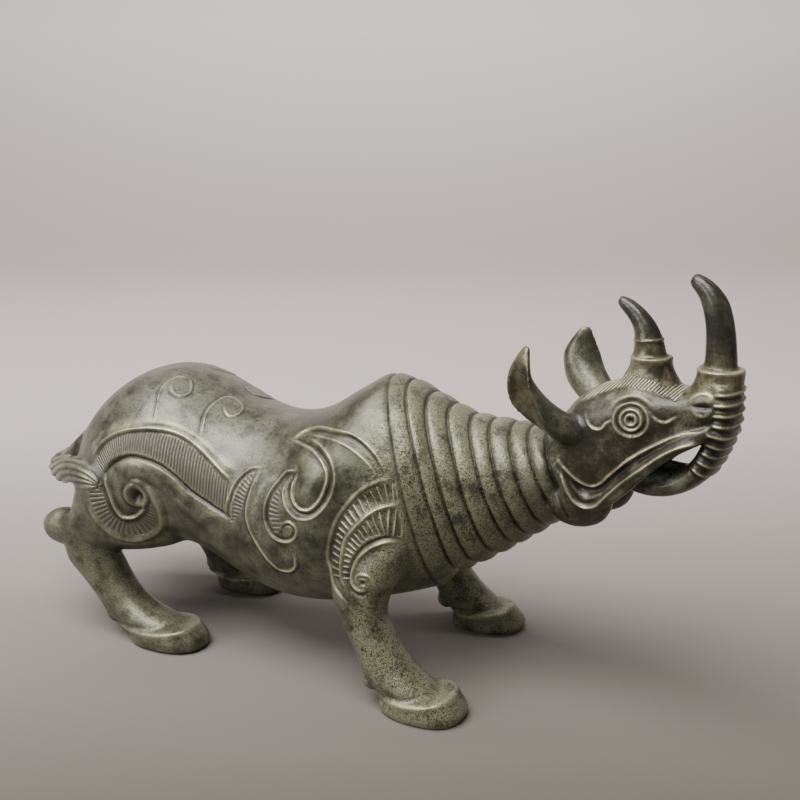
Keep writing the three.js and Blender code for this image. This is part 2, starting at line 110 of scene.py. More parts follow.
# Limbs are rows of x, y, z, pitch, yaw, up, down, half width, power, and where they have them the bow
# of the section and the depth of a dent in its upper side.
FRONT_LEG = [
    (15, -15, 76, -86, 0, 8, 10, 9, 2), (16.5, -19.4, 62, -86, 0, 13.6, 15.6, 13.2, 2),
    (17, -22.4, 51, -87, 0, 13.6, 15.6, 12.4, 2), (16.5, -26, 42, -88, 0, 11.4, 12.8, 10.6, 2),
    (15.8, -28.8, 34, -86, 0, 8.6, 9.8, 9, 2), (17.2, -30.2, 27.5, -77, 0, 6.8, 7.4, 8, 2),
    (20.2, -30.8, 21, -66, 0, 7, 6.6, 7.8, 2), (24, -31.2, 14.5, -52, 0, 7.2, 7.4, 8, 2),
    (29.2, -31.4, 9.5, -34, 0, 6.4, 7.2, 8.4, 2), (36, -31.5, 6, -22, 0, 4.6, 5, 8.2, 2),
    (43, -31.5, 4.2, -16, 0, 3.2, 3.4, 6, 2),
]
THIGH = [
    (-66, -12, 70, 212, 0, 24, 14, 8, 2), (-73, -17.5, 61, 212, 0, 29, 18, 13.4, 2),
    (-80.6, -20, 54, 212, 0, 25, 17.6, 14.6, 2), (-88, -21.5, 47, 210, 0, 18.4, 14, 13.2, 2),
    (-94.2, -23, 41.5, 205, 0, 12.4, 7.4, 10.5, 2), (-99.6, -24.2, 38.4, 196, 0, 8.8, 4.8, 8, 2),
    (-104.4, -24.8, 37.6, 188, 0, 7.4, 6, 7.2, 2), (-108.4, -25, 37.6, 184, 0, 5.8, 5, 6.2, 2),
    (-111.4, -25, 37.8, 180, 0, 3, 2.8, 3.4, 2),
]
HEAD = [
    (62, 0, 76, 18, 0, 10, 10, 12, 2), (73.5, 0, 78, 18, 0, 12, 13, 14, 2),
    (78.6, 0, 82, 18, 0, 14.4, 15, 14.6, 2.3), (83.5, 0, 86, 20, 0, 15.2, 16.4, 14.8, 2.5),
    (89, 0, 90.5, 22, 0, 14.2, 16, 14.2, 2.5), (95.3, 0, 95.5, 22, 0, 11.2, 13.8, 13, 2.4),
    (102, 0, 98, 20, 0, 9, 9.8, 11.6, 2.3), (108.2, 0, 99.4, 14, 0, 6.6, 7.2, 10, 2.3),
    (113.5, 0, 100.4, 6, 0, 7, 5, 9.4, 2.4), (117.8, 0, 101.6, 0, 0, 6, 4.4, 8.8, 2.6),
]
PALATE = [
    (80, 0, 76, 10, 0, 8, 6, 12.4, 3.4), (86, 0, 75.6, 22, 0, 9, 5.4, 12.4, 3.4),
    (91.5, 0, 79, 38, 0, 9, 5.4, 12.2, 3.2), (97.8, 0, 86.6, 46, 0, 6, 5.4, 11.8, 3),
    (104.6, 0, 93, 36, 0, 5, 5, 10.8, 2.8), (112, 0, 97, 24, 0, 4, 4.4, 9.2, 2.8),
    (117.4, 0, 98.4, 14, 0, 3, 3, 7.4, 2),
]
TONGUE = [
    (88, 0, 77.4, 10, 0, 6, 4, 8, 2), (97, 0, 79, 8, 0, 3, 4, 8.2, 2.4),
    (103.6, 0, 80.6, 16, 0, 2.2, 3, 7.4, 2.4), (108, 0, 82.4, 30, 0, 1, 1.6, 4, 2),
]
TAIL = [
    (-98, -3, 70, 222, 0, 6, 4, 13, 2), (-105.5, -4, 64.6, 220, 3, 9, 2.8, 12.6, 2),
    (-112, -4.6, 59, 218, 8, 8, 3.2, 11, 2), (-118, -4.4, 54.2, 216, 14, 5.6, 4.2, 7.2, 2),
    (-122.6, -4.8, 50.6, 212, 20, 4.8, 4.8, 5.4, 2), (-125.4, -5.6, 49, 208, 24, 2.8, 2.8, 3, 2),
]
TUFT = [
    (-121, -6, 50.8, 180, 138, 4.6, 4.8, 4.2, 2), (-114, -12, 52.8, 178, 140, 5, 5, 4.4, 2),
    (-106.5, -18.5, 55.6, 176, 140, 4.8, 4.8, 4.4, 2), (-99, -24.5, 58.2, 174, 143, 4.4, 4.6, 4.2, 2),
    (-92, -29.2, 60, 180, 150, 3.8, 4, 3.6, 2), (-85, -32.4, 59.6, 186, 160, 2.8, 3, 2.6, 2),
    (-80.8, -33.6, 58.4, 188, 166, 1, 1, 1, 2),
]
EAR = [
    (84, -10.5, 90.5, 160, 22, 3.8, 3.8, 3.8, 2, 0, 0),
    (77.5, -14, 92.2, 156, 24, 4.2, 4.4, 4.6, 2, 0, 0),
    (71.2, -17, 96.2, 142, 28, 5.6, 4.6, 5.4, 2, 0, 3.4),
    (66.8, -19, 101.4, 122, 36, 6.6, 4.4, 5.8, 2, 0, 7),
    (65, -20, 107, 98, 46, 4, 3.4, 5.4, 2, 0, 4.4),
    (65.5, -19.4, 111.8, 82, 50, 2.2, 2.2, 3.4, 2, 0, 1.2),
    (66.4, -18.3, 115.6, 74, 50, 0.7, 0.9, 1.5, 2, 0, 0),
]

# The dent faces this many degrees from straight up, towards the side of the section's yaw, and this
# many degrees away from there it has all but ended.
DENT_TURN = 34
DENT_SPREAD = 50

# Horns and their collars: x, z, pitch, radius.
NOSE_HORN = [
    (116.9, 104, 90, 4.7), (116.4, 113, 92, 4.4), (116, 118.5, 96, 4.1), (115.1, 124.5, 103, 3.8),
    (113.5, 129.4, 115, 3.5), (111, 132.9, 134, 2.8), (108, 135.2, 148, 2.1), (106.8, 135.9, 152, 1.6),
]
NOSE_COLLAR = [
    (114.6, 101, 88, 8), (115.7, 105.4, 88, 7.1), (116.6, 110.4, 88, 6.3), (116.7, 111.9, 88, 6.3),
    (116.8, 112.4, 88, 5.9), (116.8, 112.2, 88, 5), (116.8, 111.2, 88, 4.4),
]
FOREHEAD_HORN = [
    (96.6, 104, 90, 5), (96.4, 113, 92, 4.7), (95.6, 118, 102, 3.9), (94, 121.8, 118, 3.1),
    (91.3, 124.9, 136, 2.5), (88.4, 127.1, 148, 2), (86.3, 128.2, 155, 1.3),
]
FOREHEAD_COLLAR = [
    (97.4, 101.5, 90, 11.6), (97.2, 106.5, 90, 8), (97, 111.6, 90, 5.8), (97, 112.8, 90, 5.8),
    (97, 113.4, 90, 5.4), (97, 113.2, 90, 4.7),
]

# Thin raised lines round the horns: x and z on one side, x and z on the other, half width, bow.
HORN_LINES = [
    (90.6, 117.2, 100.6, 118.2, 5.4, 0), (91, 112.6, 103, 113, 6.6, 0), (110, 111.6, 123.6, 111.9, 7, 0),
]

# Lips: x, z, half width of the head there, half height.
LIPS = [
    (75, 81.6, 13.4, 1.6), (78.4, 77, 13.6, 2.4), (81.6, 72.4, 13.2, 2.7), (85.2, 70.8, 13, 2.6),
    (89.8, 72.6, 13, 2.4), (97.4, 79.6, 12.6, 2.2), (103.4, 86, 12, 2.1), (109, 90.8, 11, 2),
    (114.2, 94.2, 9.6, 2), (118, 96.2, 7.2, 1.8),
]

# Place and radii of the near jowl, under the corner of the mouth, and radii of the pads at the heels.
JOWL = ((80, -8, 69.6), (11, 7.4, 8.4))
PAD_RADII = (3.6, 6.4, 3.6)

# The far legs differ: the hind foot steps forward, and the front hoof is shorter. The far legs and the
# far ear are also shifted along X.
FAR_STEP = 10
NEAR_HOOF = 15.4
FAR_HOOF = 12.6
FAR_HIND_SHIFT = 1
FAR_FRONT_SHIFT = 1.5
FAR_EAR_SHIFT = 2.6

# Middle line of the snout strap and the lower jaw, in side view.
JAW = [
    (118.8, 108.4), (119.2, 102), (118.8, 96), (117, 90.4), (114.8, 85.4), (111.2, 81), (106.2, 78),
    (100.8, 76.8), (95.2, 77.2), (88, 78.4),
]

# Ridges across the strap: their number, the share of its length that they take up, how far along its
# own share the first one lies, and the soft steps on the inner and the outer side of the strap.
SNOUT_RIDGES = 9
SNOUT_SHARE = 0.47
FIRST_RIDGE = 0.7
STRAP_INNER, STRAP_OUTER = (-1.8, -0.6), (4.6, 5.4)

# The part of the head that holds the strap: along X, away from the middle plane and along Z.
SNOUT_BACK = 104
SNOUT_HALF = 11
SNOUT_FOOT = 74
SNOUT_TOP = 111

# Raised lines in side view. Each has a line of x, z and a profile of offset, height and width across
# it, where a positive offset lies on the left of the line's direction.
RIBS = [
    # Haunch: the crest, the groove above the volute, the lip of the volute and the soft outer rim.
    ([(-86, 66.5), (-84.5, 68), (-80.5, 72.5), (-74, 76.5), (-67, 78.5), (-59.5, 79), (-53.5, 78.2),
      (-49, 76.5), (-45, 74.3), (-39.5, 70.5), (-35, 67.4), (-30.5, 64.6)],
     [(0, 0.6, 0.55), (2.1, 0.55, 1.8), (-1.0, -0.3, 0.5)]),
    ([(-29.5, 53), (-34.5, 55), (-40, 57.5), (-45.5, 60.5), (-51, 64.8), (-56.5, 68), (-61.5, 69.5),
      (-67, 70), (-72.5, 68), (-76.5, 65), (-78.5, 61.5)], [(0, -1.0, 0.6), (1.9, 0.4, 1.4)]),
    ([(-78.4, 62), (-77.6, 59), (-76.5, 56.5), (-75.5, 53.5), (-74, 50), (-72, 47.6), (-69, 47.6),
      (-66, 49.6), (-63.4, 52.4), (-62.8, 54.6)], [(0, 0.65, 0.5), (1.2, -0.25, 0.7), (-1.3, -0.4, 0.7)]),
    ([(-68.5, 58), (-67, 60), (-64.5, 61), (-61.5, 60), (-59, 56.5), (-57.6, 52), (-59, 46.5),
      (-63, 41.8), (-66.5, 39.8), (-70, 39), (-75, 40), (-79, 43.5), (-82.5, 48.5), (-84, 53)],
     [(0.2, 0.9, 1.4), (2.0, -0.4, 0.9)]),
    # Flank: a crescent, the large comma and the small one inside it.
    ([(-21, 70.5), (-25.5, 69), (-29, 65.5), (-31, 61), (-32, 56), (-31.5, 51.5)],
     [(0, 0.45, 0.42), (0.9, -0.3, 0.42), (1.9, 0.25, 0.36)]),
    ([(-22.5, 68.5), (-23.5, 64), (-24.5, 58.5), (-24.5, 55), (-22.5, 50), (-19.5, 45.5), (-16, 41),
      (-12.5, 38.5), (-8.5, 38.5), (-5.5, 41), (-5, 46)], [(0.6, 0.5, 0.42), (-0.4, -0.4, 0.45)]),
    ([(-6.5, 71.5), (-10.5, 70.5), (-13, 67.5), (-15.5, 63.5), (-16.5, 58.5), (-15.5, 54), (-12.5, 50.5),
      (-9, 50), (-5.5, 52), (-5, 54.5), (-7, 56), (-9.5, 55), (-10.5, 53.5)],
     [(-0.4, 0.45, 0.4), (0.5, -0.4, 0.42)]),
    # Flame behind the shoulder and the tongue that hangs inside it.
    ([(-14, 78.5), (-10, 81), (-3.5, 83.5), (4, 84.5), (10.5, 84.5), (15.5, 82.5), (20.5, 78.5),
      (23.5, 74.5)], [(0, 0.55, 0.45), (-1.1, -0.45, 0.5)]),
    ([(-6.5, 81), (0.5, 82), (5.5, 82), (11, 80.6), (16, 77.8), (21.5, 73)], [(0, 0.35, 0.34)]),
    ([(-14, 78.5), (-8, 78.5), (-1.5, 78), (3, 75.5), (5, 72.5), (4.5, 67.5), (2.5, 63.5), (-0.5, 61),
      (-4, 61), (-6.5, 63), (-7.5, 66), (-7, 71)], [(-0.3, 0.5, 0.42), (0.8, -0.5, 0.48)]),
    ([(-6, 80.5), (0, 79.8), (4.8, 77), (7.2, 72.5), (6.9, 67.5), (4.2, 62), (-0.5, 58.4), (-5, 58.2),
      (-9, 61.2), (-10.6, 65.5), (-9.4, 69)], [(0, 0.35, 0.34)]),
    # Shoulder: the outer edge, the line between the two ribbed bands, the edge of the boss and its curl.
    ([(25, 73.5), (21, 72), (16, 69), (12, 64.5), (8.5, 59), (6.5, 52.5), (5.5, 45), (7.5, 39.5),
      (12, 36), (15.5, 34)], [(0, 0.3, 0.6), (0.9, -0.2, 0.5)]),
    ([(27.5, 65.5), (24.5, 65), (20, 63), (16, 59), (12, 53.5), (11, 47), (11.5, 42), (13.5, 39)],
     [(0, 0.55, 0.42)]),
    ([(28.5, 54), (25.5, 55), (22, 54), (18, 51), (15.5, 46.8), (14.8, 43.5), (15.3, 41), (16.8, 39.3),
      (19, 38.8), (20, 39.6), (19.7, 40.8)], [(0.5, 0.65, 0.6), (-0.7, -0.8, 0.7)]),
    ([(17, 41.5), (17, 43.5), (18.5, 44.6), (21, 44.1), (22.5, 41.5)],
     [(0, 0.5, 0.42), (-0.8, -0.3, 0.4)]),
    # Mouth: an upper and a lower line with a flat band between them.
    ([(76, 83), (78, 81), (80.5, 79), (82.6, 77.4), (84.8, 76.4), (87, 76.2), (88.8, 77.2), (91.5, 80.2),
      (97, 85.8), (104, 91), (110.6, 94.8), (115.6, 96.6)], [(0, 0.6, 0.42), (-1.3, -0.5, 0.75)]),
    ([(77.6, 80), (79, 76.6), (80.6, 73.4), (82.6, 71), (85, 70), (88.2, 70.8), (92, 74.8), (95.5, 78.8),
      (101.5, 84.5), (107, 89.4), (112, 92.4), (116, 93.4)], [(0, 0.65, 0.42), (1.3, -0.5, 0.75)]),
    # Wavy folds behind the eye and in front of it, the lid and the nostril.
    ([(83.3, 97), (84.2, 95.4), (85.6, 94), (87.4, 93.4), (89, 93.8), (90.2, 95.4), (91.4, 96.2),
      (92.6, 96)],
     [(0, 0.5, 0.36), (0.7, -0.2, 0.4)]),
    ([(101.6, 99.8), (102.8, 98.8), (104.2, 97.9), (106, 97.6), (107.6, 98.6), (109.4, 100)],
     [(0, 0.5, 0.36), (0.7, -0.2, 0.4)]),
    ([(91.9, 98.8), (92.8, 100.8), (94.6, 102), (96.9, 102.6), (99.3, 102), (101.2, 100.4),
      (102.3, 98.8)],
     [(0, -0.7, 0.6), (1.2, 0.4, 1.0)]),
    ([(111.8, 103.2), (113.6, 103), (115.6, 103), (117.4, 103.3), (118.6, 104)], [(0, -1.3, 0.8)]),
    ([(112.4, 102.2), (113.6, 101), (115.2, 100.5), (116.8, 101), (118, 102.2)], [(0, 0.6, 0.42)]),
    ([(110.2, 103.8), (112, 105), (114, 106), (116, 106), (118.6, 105)], [(0, 0.55, 0.55)]),
]

# Curls engraved on top of the rump: x, y, z.
RUMP_CURLS = [
    [(-61, -27, 80.5), (-62.5, -22.5, 85.5), (-64, -19, 88.5), (-64.5, -16, 90.5), (-64, -12, 92),
     (-63, -9.5, 92), (-60, -8, 91.5), (-56.5, -11, 90), (-55.5, -14.5, 88), (-57.5, -17, 88),
     (-61, -16, 89), (-62.6, -13.5, 91)],
    [(-44.5, -24, 76.5), (-46, -20.5, 80.5), (-47, -14.5, 84.5), (-46.5, -10.5, 86), (-45.5, -6, 86),
     (-41.5, -5, 84.5), (-38.5, -8, 83), (-38.5, -12, 82), (-40, -13.5, 82), (-42.5, -12.5, 83.5),
     (-43.5, -10, 85)],
]

# Combed fields in side view: the outline, the line that the strokes cross, their pitch, how far the
# field is sunk, how high the strokes stand and how thin they are. A thinness of 1 is for strokes that
# are too fine for the mesh to show well, and the material draws them too.
COMBED = [
    # Haunch, above the volute and below it.
    ([(-83.6, 66.8), (-80, 71.4), (-74, 75.4), (-67, 77.3), (-59.5, 77.8), (-53.5, 77), (-49, 75.3),
      (-45, 73), (-39.5, 69.2), (-35, 66), (-31, 63.2), (-29.6, 54.4), (-34.5, 56.3), (-40, 58.8),
      (-45.5, 61.9), (-51, 66.2), (-56.5, 69.3), (-61.5, 70.8), (-67, 71.3), (-73.2, 69.2), (-77.6, 66),
      (-80, 62.6)],
     [(-87, 58), (-84.6, 64), (-81, 68.6), (-77, 72), (-71, 74.4), (-62, 75), (-50, 75), (-38, 75),
      (-26, 75)], 1.05, 0.25, 0.13, 1),
    ([(-84.2, 57), (-83.4, 52), (-81, 47.5), (-77.5, 43), (-73, 41), (-69.5, 40.4), (-65.5, 41.2),
      (-62, 44), (-60, 48), (-59.8, 52), (-61.2, 55), (-62, 51.6), (-65, 48.4), (-69, 46.2),
      (-73, 46), (-76, 49.4), (-77.8, 54), (-79.4, 57.4)],
     [(-81.5, 60), (-80.5, 52), (-76.5, 45.5), (-70, 43), (-64, 45.5), (-61, 51)], 1.5, 0.25, 0.13, 1),
    # Flank, inside the crescent and the comma.
    ([(-22, 69.2), (-25.5, 67.4), (-27.8, 64.6), (-29.4, 61), (-30.4, 56), (-30.2, 52), (-26.6, 55),
      (-25.6, 58.5), (-24.4, 64)], [(-22, 70), (-26, 65), (-28, 60), (-28.6, 52)], 1.3, 0.2, 0.1, 1),
    ([(-10.4, 69), (-12, 66.6), (-14.2, 63), (-15.2, 58.5), (-14.2, 54.8), (-12, 51.8), (-10, 55),
      (-11.6, 60), (-11.4, 65)],
     [(-9.5, 69.5), (-12.4, 64.5), (-13.6, 58.5), (-12.4, 51)], 1.4, 0.2, 0.1, 1),
    # Shoulder, the outer and the inner ribbed band.
    ([(26, 72.4), (21, 70.8), (16.8, 67.8), (13, 63.6), (9.8, 58.4), (7.8, 52.2), (6.8, 45.4),
      (8.4, 40.6), (11, 40.4), (10.4, 47), (11.4, 54), (15.4, 59.6), (19.8, 63.6),
      (24.5, 65.8), (27, 66.2)],
     [(28, 69.6), (23, 68.6), (18, 65.6), (13.8, 61.4), (10.4, 56), (8.8, 50), (8.4, 44), (9.6, 38)],
     2.1, 0.3, 0.45, 8),
    ([(27.4, 64.6), (24.5, 64.2), (20.4, 62.2), (16.8, 58.4), (13, 53.2), (12, 47), (12.4, 42),
      (14, 41), (14.2, 47), (16.8, 51.8), (20.6, 55.6), (25, 56.4), (28.4, 55.4)],
     [(28.6, 60.6), (23.8, 60.4), (19.4, 58), (15.6, 54.2), (13.2, 49.6), (13, 45), (13.4, 39)],
     1.75, 0.4, 0.45, 8),
    # Brow, short slanting strokes behind the forehead horn and in front of it.
    ([(80.5, 99.4), (84, 101.2), (87, 103), (90, 104.2), (94, 105.4), (99, 105), (103.5, 104.2),
      (108.5, 104), (108.5, 106), (103, 106.8), (99.5, 108.2), (96, 108.6), (92, 108.6), (88, 107),
      (84, 104.6), (81, 101.8)],
     [(78, 112), (86.5, 105.6), (95, 99.2), (112, 86.5)], 0.78, 0.1, 0.12, 1),
]

# Smooth raised fields in side view: the outline, the rise and how far in it is reached.
PADS = [
    ([(-34, 53.4), (-41, 55.4), (-48, 58.6), (-56, 64.6), (-61, 67.4), (-66.5, 68.4), (-71.6, 66),
      (-75, 61.4), (-75.4, 57.5), (-74.4, 53.6), (-72.6, 50.4), (-70, 49.4), (-67.6, 51), (-66.6, 56),
      (-64, 61), (-58, 60.6), (-50, 54), (-42, 49)], 0.9, 4.0),
    ([(-20.5, 69.4), (-22, 64), (-23, 58), (-22, 52), (-18.6, 46.6), (-15, 42), (-12, 40.4), (-9, 40.4),
      (-7, 42), (-6.6, 46), (-10, 48.4), (-14.4, 51), (-17.4, 55), (-18.2, 59), (-17, 64), (-14, 69)],
     0.5, 2.6),
    ([(-12, 77.6), (-6, 77.4), (-1.5, 76.8), (2.4, 74.6), (4, 72), (3.4, 68), (1.6, 64.4), (-1, 62.2),
      (-3.8, 62.2), (-5.6, 64), (-6.2, 67), (-5.6, 71), (-8, 74)], 0.9, 3.4),
    ([(30, 53), (25.5, 53.8), (22.4, 52.6), (19, 49.6), (16.8, 46), (16.4, 42), (17.6, 39.8), (20, 38),
      (26, 38), (30, 44)], 1.2, 5.0),
]

# Round places in side view: the middle, and a profile with the radius as its offset.
ROUNDELS = [
    # Eye, hollow of the volute and hollow of the shoulder boss.
    ((96.9, 97.3), [(4.8, 0.4, 0.34), (3.8, -0.45, 0.5), (2.9, 0.5, 0.42), (2.2, -0.35, 0.3),
                    (1.5, 0.4, 0.34), (0, -0.9, 0.7)]),
    ((-65.6, 56.4), [(0, -2.2, 2.0), (3.6, 0.35, 0.9), (5.0, -0.4, 0.6)]),
    ((19.2, 42), [(0, -0.9, 0.75)]),
]

# Profiles of the curls on the rump, the ridges of the snout and the bands of the hooves.
RUMP_CURL = [(0, 0.22, 0.34), (0.8, -0.25, 0.4)]
SNOUT_PROFILE = [(0, 0.55, 0.32), (1.1, -0.4, 0.5)]
BAND_PROFILE = [(0, 0.6, 0.85), (1.8, -0.35, 0.9)]

# Height and width of the lines round the neck and the horns. The first groove is the soft one.
FIRST_GROOVE = (-0.5, 0.7)
NECK_GROOVE = (-0.8, 0.4)
HORN_RIDGE = (0.35, 0.36)

# Locks of the tail tuft: their number, their height and their twist.
TUFT_LOCKS = (9, 0.6, 0.03)

# Hooves: x and y of the middle of the sole, and half its length.
HOOVES = [(-62, -25, 15.6), (-58.5, 25, 14.6), (38, -31.6, 15.4), (36.7, 31.6, 12.6)]

# Level of a hoof's band at the heel, and its climb to the toe.
BAND_LEVEL = 5.2
BAND_CLIMB = 3.6

# A ridge narrower than NARROW is rubbed, and a broad one only a little. A groove that is as narrow, or
# deeper than DEEP, is marked dark. The mark is full where the relief is as high as FULL_MARK.
NARROW = 0.8
DEEP = -1
FULL_MARK = 0.5
BROAD_RUB = 0.3

# Gap between the points of a raised line, the lengths over which its ends fade, a distance from the
# middle plane that is outside the figure, and how many points are measured at a time.
PATH_GAP = 0.4
RIB_FADE = 4.0
CURL_FADE = 5.0
OUTSIDE = 150
BATCH = 20000

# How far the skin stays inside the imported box, and the height under which it lies on the ground.
INSET = 0.01
SOLE_SNAP = 0.05

# Where the finish changes: the start and the end of each soft step along X, along Z or, for an edge,
# away from the middle plane. The ears and the hollow of the near one also have sharp limits along X.
NECK_BACK, NECK_FRONT, NECK_FADE = (12, 22), (74, 84), (36, 70)
LEG_TOP = (26, 50)
HEAD_BACK, HEAD_FOOT = (72, 80), (60, 66)
BACK_FRONT, BACK_FOOT = (-34, -4), (38, 66)
HORN_BACK, NOSE_HORN_BACK, HORN_FOOT, HORN_TIP = (80, 84), (100, 104), (112, 114), (117, 123)
BROW_BACK, BROW_FOOT, BROW_TOP = (82, 90), (101, 107), (116, 122)
TONGUE_BACK, TONGUE_TIP, TONGUE_EDGE = (86, 90), (109, 111), (8.4, 9.4)
TONGUE_FOOT, TONGUE_TOP = (78.4, 80.4), (85, 87)
EAR_BACK, EAR_STEM, EAR_FRONT, HOLLOW_FRONT = 55, 82, 86, 69.5
STEM_EDGE, STEM_FOOT, EAR_EDGE, EAR_FOOT, HOLLOW_FOOT = (13, 16), (88, 92), (11, 15), (84, 90), (94, 98)

# Colours of the bronze, from the patina to the dark of the grooves with the painted shade of the hollows,
# and the depth of its pits in metres.
PATINA_DARK = (0.034, 0.033, 0.021, 1)
PATINA_GREEN = (0.084, 0.083, 0.055, 1)
BACK_GREY = (0.122, 0.118, 0.096, 1)
NECK_GREEN = (0.275, 0.275, 0.165, 1)
HEAD_BROWN = (0.040, 0.032, 0.021, 1)
BROW_OCHRE = (0.185, 0.160, 0.078, 1)
BLOTCH_PALE = (0.235, 0.238, 0.160, 1)
BLOTCH_DARK = (0.024, 0.023, 0.015, 1)
TONGUE_GREEN = (0.260, 0.340, 0.260, 1)
SPECK_PALE = (0.32, 0.33, 0.21, 1)
SPECK_BLACK = (0.014, 0.015, 0.011, 1)
COMB_GROUND = (0.225, 0.210, 0.160, 1)
COMB_STROKE = (0.040, 0.036, 0.028, 1)
BROW_STROKE = (0.50, 0.46, 0.31, 1)
RUBBED_RIDGE = (0.70, 0.66, 0.42, 1)
GROOVE_DARK_AND_SHADE = (0.018, 0.016, 0.011, 1)
HORN_BLACK = (0.034, 0.033, 0.027, 1)
BUMP_DEPTH = 0.0005

# Paper sweep in metres, before it is turned to face the camera. Its colour fades from painted shade at
# the viewer's end of the floor to the far end, and then to painted light up the wall.
FLOOR_FRONT = -1.6
BEND_START = 1.0
BEND_RADIUS = 0.8
WALL_TOP = 3.2
PAPER_HALF = 3.0
FLOOR_FADE, WALL_FADE = (-0.11, 0.28), (0.02, 0.36)
PAPER_NEAR_PAINTED_SHADE = (0.100, 0.094, 0.074, 1)
PAPER_FLOOR = (0.52, 0.465, 0.44, 1)
PAPER_WALL_PAINTED_LIGHT = (0.86, 0.80, 0.77, 1)

# Lights: name, place and aim as studio() takes them, width and height, power and colour.
LIGHTS = [
    ("overhead", (-0.28, -0.27, 0.93), (0, 0.03, 0.05), (0.9, 0.6), 17.5, (1.0, 0.985, 0.97)),
    ("front_left", (-0.9, -0.5, 0.55), (0, 0, 0.06), (0.6, 0.45), 5, (1, 1, 1)),
    ("wall", (0.0, 0.3, 1.1), (0, 1.7, 0.35), (1.8, 0.4), 22, (1.0, 0.97, 0.96)),
]
WORLD_COLOUR = (0.95, 0.93, 0.92, 1)
WORLD_STRENGTH = 0.14


def curve_through(points, gap):
    """Points spaced about gap apart on a smooth curve through the given rows of numbers."""
    rows = np.array(points, float)
    width = min(3, rows.shape[1])
    steps = np.linalg.norm(np.diff(rows[:, :width], axis=0), axis=1)
    at = np.concatenate([[0], np.cumsum(np.maximum(steps, 1e-3))])
    slopes = np.gradient(rows, at, axis=0)
    made = []
    for i, length in enumerate(np.diff(at)):
        count = max(1, int(round(length / gap)))
        t = (np.arange(count) / count)[:, None]
        made.append((1 + 2 * t) * (1 - t) ** 2 * rows[i] + t * (1 - t) ** 2 * length * slopes[i]
                    + t * t * (3 - 2 * t) * rows[i + 1] + t * t * (t - 1) * length * slopes[i + 1])
    return np.concatenate(made + [rows[-1:]])


def section(row, sides):
    """One ring of points of a limb, turned by the row's pitch and yaw."""
    x, y, z, pitch, yaw, up, down, half, power, bow, dent = (*row, 0, 0)[:11]
    angle = np.arange(sides) / sides * 2 * np.pi
    c, s = np.cos(angle), np.sin(angle)
    side = np.sign(c) * np.abs(c) ** (2 / power)
    rise = np.sign(s) * np.abs(s) ** (2 / power) * np.where(s > 0, up, down)
    forward = bow * (((1 - side) / 2) ** 2 - 0.25)
    side = side * half
    if dent:
        facing = np.radians(90 + DENT_TURN * np.sign(yaw))
        depth = dent * np.exp(-((angle - facing) / np.radians(DENT_SPREAD)) ** 4)
        side -= depth * np.cos(facing)
        rise -= depth * np.sin(facing)
    pitch, yaw = math.radians(pitch), math.radians(yaw)
    along = forward * math.cos(pitch) - rise * math.sin(pitch)
    return np.stack([x + along * math.cos(yaw) - side * math.sin(yaw),
                     y + along * math.sin(yaw) + side * math.cos(yaw),
                     z + forward * math.sin(pitch) + rise * math.cos(pitch)], 1)


def skin(rows, sides):
    """A closed skin over rows, cut off at the ground, as points and faces."""
    rings = [section(row, sides) for row in rows]
    points = np.concatenate(rings + [rings[0].mean(0)[None], rings[-1].mean(0)[None]])
    points[:, 2] = np.maximum(points[:, 2], 0)
    faces = []
    last = len(rings) - 1
    for i in range(sides):
        j = (i + 1) % sides
        faces.append((last * sides + sides, j, i))
        faces.append((last * sides + sides + 1, last * sides + i, last * sides + j))
        for r in range(last):
            faces.append((r * sides + i, r * sides + j, (r + 1) * sides + j, (r + 1) * sides + i))
    return points, faces


def limb(rows, sides=40, gap=1.6):
    """A closed skin with so many sides, and a section at every gap along its rows."""
    return skin(curve_through(rows, gap), sides)


def far_side(rows, shift):
    """The rows in mirror image, shifted along X."""
    return [(r[0] + shift, -r[1], r[2], r[3], -r[4], *r[5:]) for r in rows]


def ball(centre, radii):
    """An ellipsoid as rows of a limb that runs along X."""
    rows = []
    for t in np.linspace(-0.98, 0.98, 13):
        round_off = math.sqrt(1 - t * t)
        rows.append((centre[0] + t * radii[0], centre[1], centre[2], 0, 0,
                     radii[2] * round_off, radii[2] * round_off, radii[1] * round_off, 2))
    return rows


def hoof_rows(x, y, length):
    """A low shoe with a flat sole, a flared wall and a raised band at the top, as upright rows of
    shift, height, share of the length, half width and tilt."""
    rows = [
        (0, 0, 0.95, 9.6, 0), (0.4, 2, 1, 10.2, 2), (-0.4, 4.4, 0.92, 9.8, 5),
        (-0.9, 5.8, 0.84, 9.6, 7), (-1.4, 7, 0.68, 8.6, 9),
    ]
    return [(x + shift, y, z, 90 + tilt, 0, length * share, length * share, half, 2.3)
            for shift, z, share, half, tilt in rows]


def hind_leg(step):
    """Haunch and hock, shank, pad and hoof. A larger step stands the shank straighter."""
    shank = [
        (-98.5, -24.8, 38, -46, 0, 8, 5.2, 7.4, 2),
        (-95.4 + step * 0.5, -24.8, 31, -46, 0, 9.6, 7.8, 8, 2),
        (-89.6 + step * 0.9, -24.8, 24.5, -47, 0, 9.2, 7.4, 8, 2),
        (-84 + step, -24.8, 17.5, -48, 0, 7.4, 7, 7.8, 2),
        (-79 + step * 0.85, -24.8, 12, -40, 0, 6.6, 7.8, 7.8, 2),
        (-71.5 + step * 0.6, -24.9, 8, -22, 0, 5.2, 6, 8.2, 2),
        (-63, -25, 5.8, -12, 0, 4.6, 4.6, 8, 2),
        (-55, -25, 4.4, -12, 0, 3.4, 3.4, 5.6, 2),
    ]
    return [THIGH, shank, ball((-82.6 + step * 0.75, -25, 7.8), PAD_RADII),
            hoof_rows(-62 + step * 0.25, -25, 15.6 - step * 0.1)]


def front_leg(length):
    """Leg, pad and hoof, whose heel stays in place whatever half its length is."""
    return [FRONT_LEG, ball((20.8, -31, 8.6), PAD_RADII), hoof_rows(22.6 + length, -31.6, length)]


